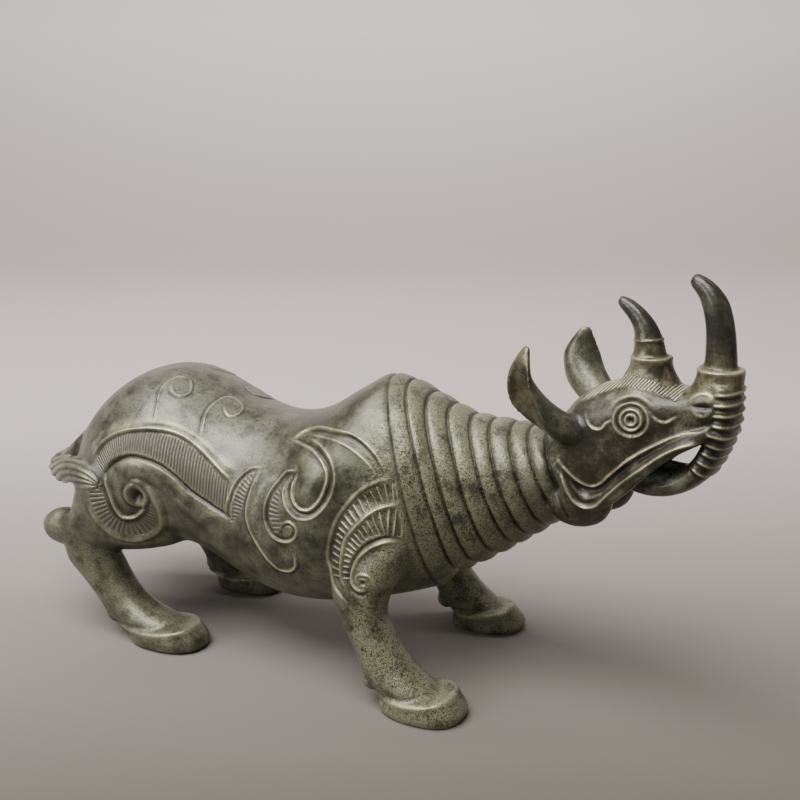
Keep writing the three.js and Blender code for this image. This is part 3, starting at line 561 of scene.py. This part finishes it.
def trunk_rows():
    """The trunk, then the neck as a row of cushions between narrow grooves."""
    def across(groove, rise=0.0):
        x_top, z_top, x_bottom, z_bottom, half, bow = groove
        height = math.hypot(x_top - x_bottom, z_top - z_bottom) / 2 + rise
        pitch = math.degrees(math.atan2(x_bottom - x_top, z_top - z_bottom))
        middle = ((x_top + x_bottom) / 2, 0, (z_top + z_bottom) / 2)
        return (*middle, pitch, 0, height, height, half + rise, NECK_POWER, bow)

    rows = []
    for x, top, bottom, half in TRUNK:
        z = bottom + (top - bottom) * WIDEST
        rows.append((x, 0, z, 0, 0, top - z, z - bottom, half, TRUNK_POWER, 0))
    body = list(curve_through(rows + [across(GROOVES[0])], 1.6)[:-1])
    for i, (here, after) in enumerate(zip(GROOVES, GROOVES[1:])):
        height = RING_RISE * (FIRST_RING if i == 0 else 1)
        for t in np.arange(RING_SECTIONS) / RING_SECTIONS:
            between = [a + (b - a) * t for a, b in zip(here, after)]
            body.append(across(between, height * (1 - abs(2 * t - 1) ** 2.4) ** 0.7))
    body.append(across(GROOVES[-1]))
    return body


def jaw_rows():
    """The strap of the snout that curls down into the lower jaw."""
    path = curve_through(JAW, 0.8)
    length = np.concatenate([[0], np.cumsum(np.linalg.norm(np.diff(path, axis=0), axis=1))])
    rows = []
    for i, share in enumerate(length / length[-1]):
        before, after = path[max(i - 2, 0)], path[min(i + 2, len(path) - 1)]
        pitch = math.degrees(math.atan2(after[1] - before[1], after[0] - before[0]))
        if pitch > 90:
            pitch -= 360
        broad = 7.7 + 1.1 * math.sin(math.pi * min(1, share * 1.15))
        rows.append((path[i][0], 0, path[i][1], pitch, 0, 3.4, 3.2, broad, 2.4))
    return rows


def lip_rows(side):
    rows = []
    for i, (x, z, y, height) in enumerate(LIPS):
        x0, z0 = LIPS[max(i - 1, 0)][:2]
        x1, z1 = LIPS[min(i + 1, len(LIPS) - 1)][:2]
        pitch = math.degrees(math.atan2(z1 - z0, x1 - x0))
        rows.append((x, y * side, z, pitch, 0, height, height, 1.9, 3))
    return rows


def horn_rows(stations):
    return [(x, 0, z, pitch, 0, radius, radius, radius, 2) for x, z, pitch, radius in stations]


def mesh_object(name, shells):
    """One mesh object of the given closed skins, in metres."""
    points, faces, base = [], [], 0
    for shell_points, shell_faces in shells:
        points.append(shell_points * MM)
        faces += [tuple(base + i for i in face) for face in shell_faces]
        base += len(shell_points)
    mesh = bpy.data.meshes.new(name)
    mesh.from_pydata(np.concatenate(points).tolist(), [], faces)
    mesh.update()
    made = bpy.data.objects.new(name, mesh)
    bpy.context.scene.collection.objects.link(made)
    return made


def make_active(target):
    bpy.ops.object.select_all(action="DESELECT")
    target.select_set(True)
    bpy.context.view_layer.objects.active = target


def apply_modifier(target, kind, **settings):
    make_active(target)
    modifier = target.modifiers.new(kind.lower(), kind)
    for key, value in settings.items():
        setattr(modifier, key, value)
    bpy.ops.object.modifier_apply(modifier=modifier.name)


def rough_casting():
    """Every limb in one mesh, joined into a single skin by voxels."""
    jowl = ball(*JOWL)
    limbs = [limb(rows) for rows in hind_leg(0) + front_leg(NEAR_HOOF)]
    limbs += [limb(far_side(rows, FAR_HIND_SHIFT)) for rows in hind_leg(FAR_STEP)]
    limbs += [limb(far_side(rows, FAR_FRONT_SHIFT)) for rows in front_leg(FAR_HOOF)]
    limbs.append(skin(trunk_rows(), 96))
    limbs += [limb(HEAD, 64, 1.2), limb(PALATE, 48), limb(TONGUE, 32), skin(jaw_rows(), 48)]
    limbs += [limb(lip_rows(side), 24, 1.0) for side in (-1, 1)]
    limbs += [limb(jowl), limb(far_side(jowl, 0))]
    limbs += [limb(horn_rows(NOSE_HORN), 36, 1.0), limb(horn_rows(FOREHEAD_HORN), 36, 1.0)]
    limbs += [limb(horn_rows(NOSE_COLLAR), 48, 0.5), limb(horn_rows(FOREHEAD_COLLAR), 48, 0.5)]
    limbs += [limb(EAR, 56, 1.0), limb(far_side(EAR, FAR_EAR_SHIFT), 56, 1.0)]
    limbs += [limb(TAIL), limb(TUFT, 32, 1.2)]
    body = mesh_object("rhinoceros_bronze", limbs)
    apply_modifier(body, "REMESH", mode="VOXEL", voxel_size=VOXEL * MM, adaptivity=0)
    return body


def points_of(mesh):
    flat = np.zeros(len(mesh.vertices) * 3, np.float32)
    mesh.vertices.foreach_get("co", flat)
    return flat.reshape(-1, 3).astype(float) / MM


def normals_of(mesh):
    flat = np.zeros(len(mesh.vertices) * 3, np.float32)
    mesh.vertex_normals.foreach_get("vector", flat)
    return flat.reshape(-1, 3).astype(float)


def edges_of(mesh):
    flat = np.zeros(len(mesh.edges) * 2, np.int32)
    mesh.edges.foreach_get("vertices", flat)
    return flat.reshape(-1, 2)


def set_points(mesh, points):
    mesh.vertices.foreach_set("co", (points * MM).astype(np.float32).ravel())
    mesh.update()


def relaxed(values, edges, times, weight=None):
    """Values on the vertices, moved times towards the mean of their neighbours."""
    count = len(values)
    ends = np.concatenate([edges[:, 0], edges[:, 1]])
    others = np.concatenate([edges[:, 1], edges[:, 0]])
    degree = np.maximum(np.bincount(ends, minlength=count), 1)
    values = values.copy()
    flat = values.reshape(count, -1)
    share = RELAX if weight is None else RELAX * weight
    for _ in range(times):
        for k in range(flat.shape[1]):
            mean = np.bincount(ends, flat[others, k], minlength=count) / degree
            flat[:, k] += share * (mean - flat[:, k])
    return values


def ramp(values, low, high):
    t = np.clip((values - low) / (high - low), 0, 1)
    return t * t * (3 - 2 * t)


def inside(points, outline):
    """Which of the points (x, z) lie inside the outline."""
    x, z = points[:, 0], points[:, 1]
    found = np.zeros(len(points), bool)
    for (x0, z0), (x1, z1) in zip(outline, np.roll(outline, -1, axis=0)):
        crosses = (z0 > z) != (z1 > z)
        with np.errstate(divide="ignore", invalid="ignore"):
            found ^= crosses & (x < (x1 - x0) * (z - z0) / (z1 - z0) + x0)
    return found


def nearest(points, line):
    """For each point the distance to the line, the length along it and which side it lies on."""
    distance = np.full(len(points), 1e9)
    index = np.zeros(len(points), int)
    for first in range(0, len(points), BATCH):
        part = slice(first, first + BATCH)
        gaps = ((points[part][:, None, :] - line[None]) ** 2).sum(2)
        index[part] = gaps.argmin(1)
        distance[part] = np.sqrt(gaps.min(1))
    step = np.concatenate([[0], np.cumsum(np.linalg.norm(np.diff(line, axis=0), axis=1))])
    tangent = np.gradient(line, axis=0)[index]
    offset = points - line[index]
    turn = tangent[:, 0] * offset[:, -1] - tangent[:, -1] * offset[:, 0]
    unit = tangent / np.maximum(np.linalg.norm(tangent, axis=1, keepdims=True), 1e-9)
    along = step[index] + (offset * unit).sum(1)
    across = np.linalg.norm(offset - unit * (offset * unit).sum(1)[:, None], axis=1)
    at_end = (index == 0) | (index == len(line) - 1)
    return np.where(at_end, distance, across), along, np.sign(turn), step[-1]


class Relief:
    """Heights to raise along the normals, gathered before they are applied, and the marks they leave."""

    def __init__(self, body):
        self.points = points_of(body.data)
        self.normals = normals_of(body.data)
        self.tree = BVHTree.FromObject(body, bpy.context.evaluated_depsgraph_get())
        count = len(self.points)
        self.rise, self.pale, self.dark = np.zeros(count), np.zeros(count), np.zeros(count)
        self.comb, self.comb_at = np.zeros(count), np.zeros(count)

    def near(self, low, high, side, margin):
        """The points of one side that lie within a box of the side view, or a margin outside it."""
        p = self.points
        return np.flatnonzero(
            (p[:, 0] > low[0] - margin) & (p[:, 0] < high[0] + margin) & (p[:, 2] > low[1] - margin)
            & (p[:, 2] < high[1] + margin) & (self.normals[:, 1] * side > -0.05) & (p[:, 1] * side > 0))

    def on_skin(self, line, side):
        """The line of x, z carried straight onto the skin of one side."""
        found = []
        for x, z in line:
            hit = self.tree.ray_cast(Vector((x, OUTSIDE * side, z)) * MM, Vector((0, -side, 0)))[0]
            if hit is not None:
                found.append(np.array(hit) / MM)
        return np.array(found)

    def add(self, picked, distance, profile, strength=1.0):
        """Adds the ridges and grooves of a profile by the distance from its line, and their marks."""
        for offset, height, width in profile:
            shape = strength * np.exp(-((distance - offset) / width) ** 2)
            self.rise[picked] += height * shape
            if width < NARROW or height < DEEP:
                mark = self.pale if height > 0 else self.dark
                mark[picked] = np.maximum(mark[picked], min(1, abs(height) / FULL_MARK) * shape)
            elif height > 0:
                self.pale[picked] = np.maximum(self.pale[picked], BROAD_RUB * shape)

    def add_along(self, picked, line, profile, fade):
        """Adds a profile along a line. It fades out towards both ends."""
        distance, along, turn, length = nearest(self.points[picked], line)
        taper = np.clip(np.minimum(along, length - along) / fade, 0.15, 1)
        self.add(picked, distance * turn, profile, taper)

    def rib(self, line, profile, side):
        path = curve_through(line, PATH_GAP)
        picked = self.near(path.min(0), path.max(0), side, 4)
        skin_line = self.on_skin(path, side)
        if len(skin_line) > 2:
            self.add_along(picked, skin_line, profile, RIB_FADE)

    def curl(self, line, profile, side):
        path = curve_through(line, PATH_GAP)
        path[:, 1] *= -side
        picked = self.near(path[:, [0, 2]].min(0), path[:, [0, 2]].max(0), side, 4)
        snapped = [np.array(self.tree.find_nearest(Vector(p) * MM)[0]) / MM for p in path]
        self.add_along(picked, np.array(snapped), profile, CURL_FADE)

    def field(self, outline, side):
        """The points near an outline of the side view, and how deep inside it each one lies."""
        outline = curve_through(list(outline) + [outline[0]], 0.6)
        picked = self.near(outline.min(0), outline.max(0), side, 1)
        flat = self.points[picked][:, [0, 2]]
        return picked, flat, nearest(flat, outline)[0] * np.where(inside(flat, outline), 1, -1)

    def combed(self, outline, spine, pitch, sink, height, thin, side):
        """Sinks a field and raises strokes across it. The material draws the finer ones."""
        picked, flat, depth = self.field(outline, side)
        mask = ramp(depth, -0.2, 0.6)
        phase = nearest(flat, curve_through(spine, PATH_GAP))[1] / pitch
        wave = (0.5 + 0.5 * np.cos(2 * np.pi * phase)) ** thin
        self.rise[picked] += mask * (height * wave - sink)
        if thin > 1:
            self.pale[picked] = np.maximum(self.pale[picked], mask * wave)
            self.dark[picked] = np.maximum(self.dark[picked], mask * (1 - wave) * 0.6)
        else:
            stronger = mask > self.comb[picked]
            self.comb[picked] = np.maximum(self.comb[picked], mask)
            self.comb_at[picked] = np.where(stronger, phase, self.comb_at[picked])

    def pad(self, outline, height, reach, side):
        """Raises a field in a soft round that is full at a reach from its outline."""
        picked, _, depth = self.field(outline, side)
        self.rise[picked] += height * np.sin(np.clip(depth / reach, 0, 1) * np.pi / 2)

    def rings(self, centre, profile, side):
        """Concentric rings about a point of the side view, with the radius as their offset."""
        hit = self.on_skin([centre], side)
        picked = self.near(centre, centre, side, 9)
        self.add(picked, np.linalg.norm(self.points[picked] - hit[0], axis=1), profile)

    def snout_ridges(self):
        """Thin ridges across the strap of the snout."""
        path = curve_through(JAW, PATH_GAP)
        p = self.points
        picked = np.flatnonzero((p[:, 0] > SNOUT_BACK) & (np.abs(p[:, 1]) < SNOUT_HALF)
                                & (p[:, 2] > SNOUT_FOOT) & (p[:, 2] < SNOUT_TOP))
        distance, along, turn, length = nearest(p[picked][:, [0, 2]], path)
        on_strap = ramp(distance * turn, *STRAP_INNER) * (1 - ramp(distance, *STRAP_OUTER))
        for k in range(SNOUT_RIDGES):
            at = (k + FIRST_RIDGE) / SNOUT_RIDGES * SNOUT_SHARE * length
            self.add(picked, along - at, SNOUT_PROFILE, on_strap)

    def hoof_band(self, x, y, half):
        """A soft band round the top of a hoof that climbs towards the toe."""
        p = self.points
        picked = np.flatnonzero((np.abs(p[:, 0] - x) < half + 3) & (np.abs(p[:, 1] - y) < 12)
                                & (p[:, 2] < 14) & (p[:, 2] > 1))
        share = np.clip((p[picked, 0] - x + half) / (2 * half), 0, 1)
        self.add(picked, p[picked, 2] - BAND_LEVEL - BAND_CLIMB * share ** 2, BAND_PROFILE)

    def round_line(self, line, height, width):
        """A narrow groove or ridge that runs round the neck or a horn."""
        x_top, z_top, x_bottom, z_bottom, half, bow = line
        pitch = math.atan2(x_bottom - x_top, z_top - z_bottom)
        x = self.points[:, 0] - (x_top + x_bottom) / 2
        z = self.points[:, 2] - (z_top + z_bottom) / 2
        share = np.clip(self.points[:, 1] / half, -1, 1)
        ahead = x * math.cos(pitch) + z * math.sin(pitch) - bow * (((1 - share) / 2) ** 2 - 0.25)
        reach = math.hypot(x_top - x_bottom, z_top - z_bottom) / 2 + 2.5
        within = (np.abs(ahead) < 3 * width) & (np.abs(self.points[:, 1]) < half + 2.5)
        picked = np.flatnonzero(within & (np.abs(z * math.cos(pitch) - x * math.sin(pitch)) < reach))
        self.add(picked, ahead[picked], [(0, height, width)])

    def strands(self, rows, count, height, twist):
        """Locks of hair that run along a limb and turn round it."""
        path = curve_through(rows, 0.8)
        axis = path[:, :3]
        radius = path[:, 5:8].max(1)
        p = self.points
        picked = np.flatnonzero((p > axis.min(0) - 8).all(1) & (p < axis.max(0) + 8).all(1))
        gaps = ((p[picked][:, None] - axis[None]) ** 2).sum(2)
        index = gaps.argmin(1)
        distance = np.sqrt(gaps.min(1))
        tangent = np.gradient(axis, axis=0)[index]
        tangent /= np.linalg.norm(tangent, axis=1, keepdims=True)
        offset = p[picked] - axis[index]
        upright = np.cross(tangent, [0, 0, 1])
        upright /= np.linalg.norm(upright, axis=1, keepdims=True)
        other = np.cross(upright, tangent)
        angle = np.arctan2((offset * upright).sum(1), (offset * other).sum(1)) + index * twist
        on_it = ramp(radius[index] + 1.4 - distance, 0, 1.2)
        wave = np.abs(np.cos(angle * count / 2))
        self.rise[picked] += on_it * height * (wave - 0.6)
        self.pale[picked] = np.maximum(self.pale[picked], on_it * 0.3 * ramp(wave, 0.75, 1))
        self.dark[picked] = np.maximum(self.dark[picked], on_it * 0.7 * (1 - ramp(wave, 0.05, 0.4)))


def detail(body):
    """All the relief of the figure."""
    relief = Relief(body)
    for side in (-1, 1):
        for outline, height, reach in PADS:
            relief.pad(outline, height, reach, side)
        for line, profile in RIBS:
            relief.rib(line, profile, side)
        for line in RUMP_CURLS:
            relief.curl(line, RUMP_CURL, side)
        for outline, spine, pitch, sink, height, thin in COMBED:
            relief.combed(outline, spine, pitch, sink, height, thin, side)
        for centre, profile in ROUNDELS:
            relief.rings(centre, profile, side)
    relief.snout_ridges()
    for x, y, half in HOOVES:
        relief.hoof_band(x, y, half)
    relief.round_line(GROOVES[0], *FIRST_GROOVE)
    for groove in GROOVES[1:]:
        relief.round_line(groove, *NECK_GROOVE)
    for line in HORN_LINES:
        relief.round_line(line, *HORN_RIDGE)
    relief.strands(TUFT, *TUFT_LOCKS)
    return relief


def refine(body, wanted):
    """Splits the faces that touch the wanted vertices, for the fine lines that will be raised there."""
    mesh = body.data
    corners = np.zeros(len(mesh.loops), np.int32)
    mesh.loops.foreach_get("vertex_index", corners)
    starts = np.zeros(len(mesh.polygons), np.int32)
    mesh.polygons.foreach_get("loop_start", starts)
    chosen = np.maximum.reduceat(wanted[corners], starts)
    mesh.vertices.foreach_set("select", np.zeros(len(mesh.vertices), bool))
    mesh.edges.foreach_set("select", np.zeros(len(mesh.edges), bool))
    mesh.polygons.foreach_set("select", chosen)
    make_active(body)
    bpy.context.tool_settings.mesh_select_mode = (False, False, True)
    bpy.ops.object.mode_set(mode="EDIT")
    bpy.ops.mesh.subdivide(number_cuts=1)
    bpy.ops.object.mode_set(mode="OBJECT")


def turned(points):
    """The neck turns the head a little towards the right side."""
    x, y = points[:, 0], points[:, 1]
    span = TURN_END - TURN_START
    rate = HEAD_TURN / span
    along = np.clip(x - TURN_START, 0, span)
    beyond = np.maximum(x - TURN_END, 0)
    angle = rate * along
    new_x = np.minimum(x, TURN_START) + np.sin(angle) / rate + beyond * math.cos(HEAD_TURN)
    new_y = (1 - np.cos(angle)) / rate + beyond * math.sin(HEAD_TURN)
    return np.stack([new_x - np.sin(angle) * y, new_y + np.cos(angle) * y, points[:, 2]], 1)


def smooth_skin(body):
    """Takes the voxel steps out of the skin, and more of them on the smooth trunk."""
    mesh = body.data
    edges, points = edges_of(mesh), points_of(mesh)
    trunk = (1 - ramp(points[:, 0], *TRUNK_FRONT)) * ramp(points[:, 0], *TRUNK_BACK)
    points = relaxed(points, edges, SKIN_PASSES)
    set_points(mesh, relaxed(points, edges, TRUNK_PASSES, trunk))


def mark_surface(mesh, relief, raised):
    """Attributes that say where the casting is rubbed, darker in its grooves and pits, painted with shade
    in its hollows and creases, rough, dark or bright.
    """
    edges, normals = edges_of(mesh), normals_of(mesh)

    def bulge(passes, blur):
        """How far the skin stands out from a smoothed copy of itself."""
        return relaxed(((raised - relaxed(raised, edges, passes)) * normals).sum(1), edges, blur)

    fine, broad = bulge(4, 1), bulge(30, 2)
    pale = np.maximum(relief.pale, np.clip(fine / 0.3, 0, 1) * 0.5)
    # Painted shade: the skin is darkened wherever it is hollow or creased, finely and broadly.
    crease_shade = np.clip(-fine / 0.2, 0, 1) * 0.7 + np.clip(-broad, 0, 1) * 0.5
    x, y, z = raised[:, 0], np.abs(raised[:, 1]), raised[:, 2]
    near_side = raised[:, 1] < 0

    # The neck and the legs are rough, but not the ears, which overhang the neck.
    over_neck = (x > EAR_BACK) * (x < EAR_STEM) * ramp(y, *STEM_EDGE) * ramp(z, *STEM_FOOT)
    neck = ramp(x, *NECK_BACK) * (1 - ramp(x, *NECK_FRONT)) * (1 - 0.6 * ramp(x, *NECK_FADE))
    legs = 1 - ramp(z, *LEG_TOP)
    rough = np.clip(0.15 + np.maximum(neck * (1 - over_neck), legs * 0.28), 0, 1)

    # The horns are darkest at their tips. The hollow of the near ear is bright.
    darker = 0.5 + 0.45 * ramp(x, *NOSE_HORN_BACK) + 0.3 * ramp(z, *HORN_TIP)
    horns = ramp(z, *HORN_FOOT) * ramp(x, *HORN_BACK) * darker
    ears = (x > EAR_BACK) * (x < EAR_FRONT) * ramp(y, *EAR_EDGE) * ramp(z, *EAR_FOOT)
    outward = ramp(-normals[:, 1], 0.3, 0.7)
    hollow = ears * near_side * (x < HOLLOW_FRONT) * outward * ramp(z, *HOLLOW_FOOT)
    ear_tone = ears * (1 - hollow) * np.where(near_side, 0.6, 0.2)
    brow = ramp(x, *BROW_BACK) * ramp(z, *BROW_FOOT) * (1 - ramp(z, *BROW_TOP))
    tongue = ramp(x, *TONGUE_BACK) * (1 - ramp(x, *TONGUE_TIP)) * (1 - ramp(y, *TONGUE_EDGE))

    marks = {
        "rubbed": pale,
        # Darker in narrow grooves and pits, with painted shade in hollows and creases, but not in the
        # hollow of the near ear.
        "groove_dark_painted_shade": np.maximum(relief.dark * 0.9, crease_shade) * (1 - hollow),
        "comb": relief.comb,
        "comb_at": relief.comb_at,
        "speckle": rough,
        "horn": np.clip(np.maximum(horns, ear_tone), 0, 1),
        "head": ramp(x, *HEAD_BACK) * ramp(z, *HEAD_FOOT),
        "brow": np.maximum(brow, hollow),
        "back": (1 - ramp(x, *BACK_FRONT)) * ramp(z, *BACK_FOOT),
        "tongue": tongue * ramp(z, *TONGUE_FOOT) * (1 - ramp(z, *TONGUE_TOP)),
    }
    for name, values in marks.items():
        mesh.attributes.new(name, "FLOAT", "POINT").data.foreach_set("value", values.astype(np.float32))


def place_in_frame(raised):
    """Turns the head, moves the figure to the frame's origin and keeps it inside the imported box."""
    placed = turned(raised)
    placed[:, 0] += FRAME_X
    low, high = np.array(cad_low) / MM, np.array(cad_high) / MM
    placed = np.clip(placed, low + INSET, high - INSET)
    placed[:, 2] = np.where(placed[:, 2] < SOLE_SNAP, 0, placed[:, 2])
    return placed


def cast_figure():
    body = rough_casting()
    smooth_skin(body)
    first = detail(body)
    refine(body, (np.maximum(first.pale, first.dark) > 0.05) | (first.comb > 0.02))
    relief = detail(body)
    raised = relief.points + relief.normals * relief.rise[:, None]
    set_points(body.data, raised)
    mark_surface(body.data, relief, raised)
    set_points(body.data, place_in_frame(raised))
    triangles = sum(len(face.vertices) - 2 for face in body.data.polygons)
    if triangles > FACE_LIMIT:
        apply_modifier(body, "DECIMATE", decimate_type="COLLAPSE", ratio=FACE_LIMIT / triangles)
    make_active(body)
    bpy.ops.object.shade_smooth()
    return body


class Finish:
    """A material with one Principled shader, and the nodes that feed it."""

    def __init__(self, name):
        self.material = bpy.data.materials.new(name)
        self.material.use_nodes = True
        self.tree = self.material.node_tree
        self.tree.nodes.clear()
        self.shader = self.tree.nodes.new("ShaderNodeBsdfPrincipled")
        out = self.tree.nodes.new("ShaderNodeOutputMaterial")
        self.tree.links.new(self.shader.outputs[0], out.inputs[0])
        self.where = self.tree.nodes.new("ShaderNodeTexCoord").outputs["Object"]

    def give(self, socket, value):
        """Sets a socket's plain value, or links it to another node's output."""
        if isinstance(value, (int, float, tuple)):
            socket.default_value = value
        else:
            self.tree.links.new(value, socket)

    def mix(self, amount, first, second):
        made = self.tree.nodes.new("ShaderNodeMix")
        made.data_type = "RGBA"
        for index, value in ((0, amount), (6, first), (7, second)):
            self.give(made.inputs[index], value)
        return made.outputs[2]

    def maths(self, operation, first, second=0.0, clamp=False):
        made = self.tree.nodes.new("ShaderNodeMath")
        made.operation = operation
        made.use_clamp = clamp
        self.give(made.inputs[0], first)
        self.give(made.inputs[1], second)
        return made.outputs[0]

    def times(self, first, second, clamp=True):
        return self.maths("MULTIPLY", first, second, clamp)

    def stretch(self, value, low, high, out_low=0.0, out_high=1.0):
        made = self.tree.nodes.new("ShaderNodeMapRange")
        made.clamp = True
        for name, number in (("Value", value), ("From Min", low), ("From Max", high),
                             ("To Min", out_low), ("To Max", out_high)):
            self.give(made.inputs[name], number)
        return made.outputs[0]

    def noise(self, scale, detail, roughness):
        made = self.tree.nodes.new("ShaderNodeTexNoise")
        for name, value in (("Scale", scale), ("Detail", detail), ("Roughness", roughness),
                            ("Vector", self.where)):
            self.give(made.inputs[name], value)
        return made.outputs["Fac"]

    def attribute(self, name):
        made = self.tree.nodes.new("ShaderNodeAttribute")
        made.attribute_name = name
        return made.outputs["Fac"]


def bronze_material():
    finish = Finish("patinated_bronze")
    times, stretch, maths, shader = finish.times, finish.stretch, finish.maths, finish.shader
    rubbed, groove_dark_painted_shade, speckle, horn = (finish.attribute(n) for n in ("rubbed", "groove_dark_painted_shade", "speckle", "horn"))
    head, brow, back, tongue = (finish.attribute(n) for n in ("head", "brow", "back", "tongue"))
    comb, comb_at = finish.attribute("comb"), finish.attribute("comb_at")
    clouds = finish.noise(34.0, 4.0, 0.55)
    blotch = finish.noise(150.0, 4.0, 0.6)
    grain = finish.noise(900.0, 3.0, 0.6)
    dots = finish.noise(2400.0, 1.0, 0.5)

    black = times(times(stretch(dots, 0.48, 0.38), stretch(speckle, 0.0, 0.8, 0.4, 1.0)), 0.85)
    specks = times(stretch(grain, 0.40, 0.33), stretch(clouds, 0.44, 0.58))
    patchy = stretch(blotch, 0.36, 0.58, 0.35, 1.0)
    shine = times(times(rubbed, patchy), stretch(horn, 0.0, 1.0, 1.0, 0.25))
    wave = maths("SINE", times(comb_at, 2 * math.pi, False))
    body_comb = times(comb, maths("SUBTRACT", 1.0, head))

    # The coats of colour, each with how much of it covers what lies under it.
    coats = [
        (times(back, 0.8), BACK_GREY),
        (times(speckle, 0.72), NECK_GREEN),
        (times(head, 0.85), HEAD_BROWN),
        (times(brow, stretch(blotch, 0.38, 0.60, 0.2, 0.9)), BROW_OCHRE),
        (times(stretch(blotch, 0.50, 0.64), 0.45), BLOTCH_PALE),
        (times(stretch(blotch, 0.49, 0.36), 0.7), BLOTCH_DARK),
        (times(tongue, stretch(grain, 0.35, 0.6)), TONGUE_GREEN),
        (times(times(stretch(grain, 0.52, 0.66), speckle), 0.5), SPECK_PALE),
        (maths("MAXIMUM", black, specks), SPECK_BLACK),
        (times(body_comb, 0.6), COMB_GROUND),
        (times(times(stretch(wave, 0.1, -0.8), comb), patchy), COMB_STROKE),
        (times(stretch(wave, 0.1, 0.8), times(comb, head)), BROW_STROKE),
        (times(shine, 0.9), RUBBED_RIDGE),
        # Darker grooves and pits, and painted shade in the hollows and creases.
        (times(groove_dark_painted_shade, 0.85), GROOVE_DARK_AND_SHADE),
        (times(horn, stretch(blotch, 0.38, 0.62, 0.85, 0.5)), HORN_BLACK),
    ]
    colour = finish.mix(stretch(clouds, 0.38, 0.62), PATINA_DARK, PATINA_GREEN)
    for amount, coat in coats:
        colour = finish.mix(amount, colour, coat)
    finish.give(shader.inputs["Base Color"], colour)

    finish.give(shader.inputs["Metallic"], stretch(shine, 0.1, 0.9, 0.35, 0.75))
    shader.inputs["Coat Weight"].default_value = 0.2
    shader.inputs["Coat Roughness"].default_value = 0.32
    rough = maths("ADD", stretch(blotch, 0.3, 0.7, 0.28, 0.42), times(speckle, 0.06, False))
    rough = maths("SUBTRACT", rough, times(horn, 0.08, False))
    rough = maths("ADD", rough, times(groove_dark_painted_shade, 0.2, False), clamp=True)
    finish.give(shader.inputs["Roughness"], rough)

    # Pits where the casting is rough, shallow dents all over and the combed strokes.
    pits = times(grain, stretch(speckle, 0.0, 1.0, 0.2, 1.0), False)
    height = maths("ADD", pits, times(blotch, 0.9, False))
    height = maths("ADD", height, times(times(wave, comb, False), 0.35, False))
    bump = finish.tree.nodes.new("ShaderNodeBump")
    bump.inputs["Strength"].default_value = 0.5
    bump.inputs["Distance"].default_value = BUMP_DEPTH
    finish.give(bump.inputs["Height"], height)
    finish.give(shader.inputs["Normal"], bump.outputs[0])
    return finish.material


def paper_material():
    """Pale paper, with painted shade deepening its tone towards the viewer and painted light up the wall.
    """
    finish = Finish("pale_paper")
    finish.shader.inputs["Roughness"].default_value = 0.8
    split = finish.tree.nodes.new("ShaderNodeSeparateXYZ")
    finish.give(split.inputs[0], finish.where)
    away = finish.stretch(split.outputs["Y"], *FLOOR_FADE)
    high = finish.stretch(split.outputs["Z"], *WALL_FADE)
    # Painted shade on the floor towards the viewer, and painted light on the wall.
    colour = finish.mix(high, finish.mix(away, PAPER_NEAR_PAINTED_SHADE, PAPER_FLOOR), PAPER_WALL_PAINTED_LIGHT)
    finish.give(finish.shader.inputs["Base Color"], colour)
    return finish.material


def sweep():
    """A floor that curves up into a wall behind the figure."""
    profile = [(FLOOR_FRONT, 0.0), (BEND_START, 0.0)]
    for angle in np.radians(np.arange(6, 91, 6)):
        profile.append((BEND_START + BEND_RADIUS * math.sin(angle), BEND_RADIUS * (1 - math.cos(angle))))
    profile.append((BEND_START + BEND_RADIUS, WALL_TOP))
    points = [(x, y, z) for y, z in profile for x in (-PAPER_HALF, PAPER_HALF)]
    faces = [(2 * i, 2 * i + 1, 2 * i + 3, 2 * i + 2) for i in range(len(profile) - 1)]
    mesh = bpy.data.meshes.new("sweep")
    mesh.from_pydata(points, [], faces)
    made = bpy.data.objects.new("sweep", mesh)
    bpy.context.scene.collection.objects.link(made)
    mesh.materials.append(paper_material())
    make_active(made)
    bpy.ops.object.shade_smooth()
    return made


def studio(right, away, up):
    """A place given from the middle of the figure: right and away as the camera looks, and up."""
    return (right * math.cos(AZIMUTH) - away * math.sin(AZIMUTH),
            right * math.sin(AZIMUTH) + away * math.cos(AZIMUTH), up)


def area_light(name, place, aim, size, power, colour):
    data = bpy.data.lights.new(name, "AREA")
    data.shape = "RECTANGLE"
    data.size, data.size_y = size
    data.energy = power
    data.color = colour
    lamp = bpy.data.objects.new(name, data)
    lamp.location = studio(*place)
    facing = Vector(studio(*aim)) - lamp.location
    lamp.rotation_euler = facing.to_track_quat("-Z", "Y").to_euler()
    bpy.context.scene.collection.objects.link(lamp)


def soft_world():
    world = bpy.data.worlds.new("studio")
    world.use_nodes = True
    background = world.node_tree.nodes["Background"]
    background.inputs["Color"].default_value = WORLD_COLOUR
    background.inputs["Strength"].default_value = WORLD_STRENGTH
    bpy.context.scene.world = world


def photo_camera():
    data = bpy.data.cameras.new("camera")
    data.lens = LENS
    data.sensor_width = SENSOR
    camera = bpy.data.objects.new("camera", data)
    camera.location = CAMERA_PLACE
    camera.rotation_mode = "QUATERNION"
    camera.rotation_quaternion = Vector(studio(0, 1, -math.tan(ELEVATION))).to_track_quat("-Z", "Y")
    bpy.context.scene.collection.objects.link(camera)
    bpy.context.scene.camera = camera


body = cast_figure()
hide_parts("rhinoceros")
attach(body, "root")
body.data.materials.clear()
body.data.materials.append(bronze_material())

floor = sweep()
floor.rotation_euler[2] = AZIMUTH

for light in LIGHTS:
    area_light(*light)
soft_world()
photo_camera()
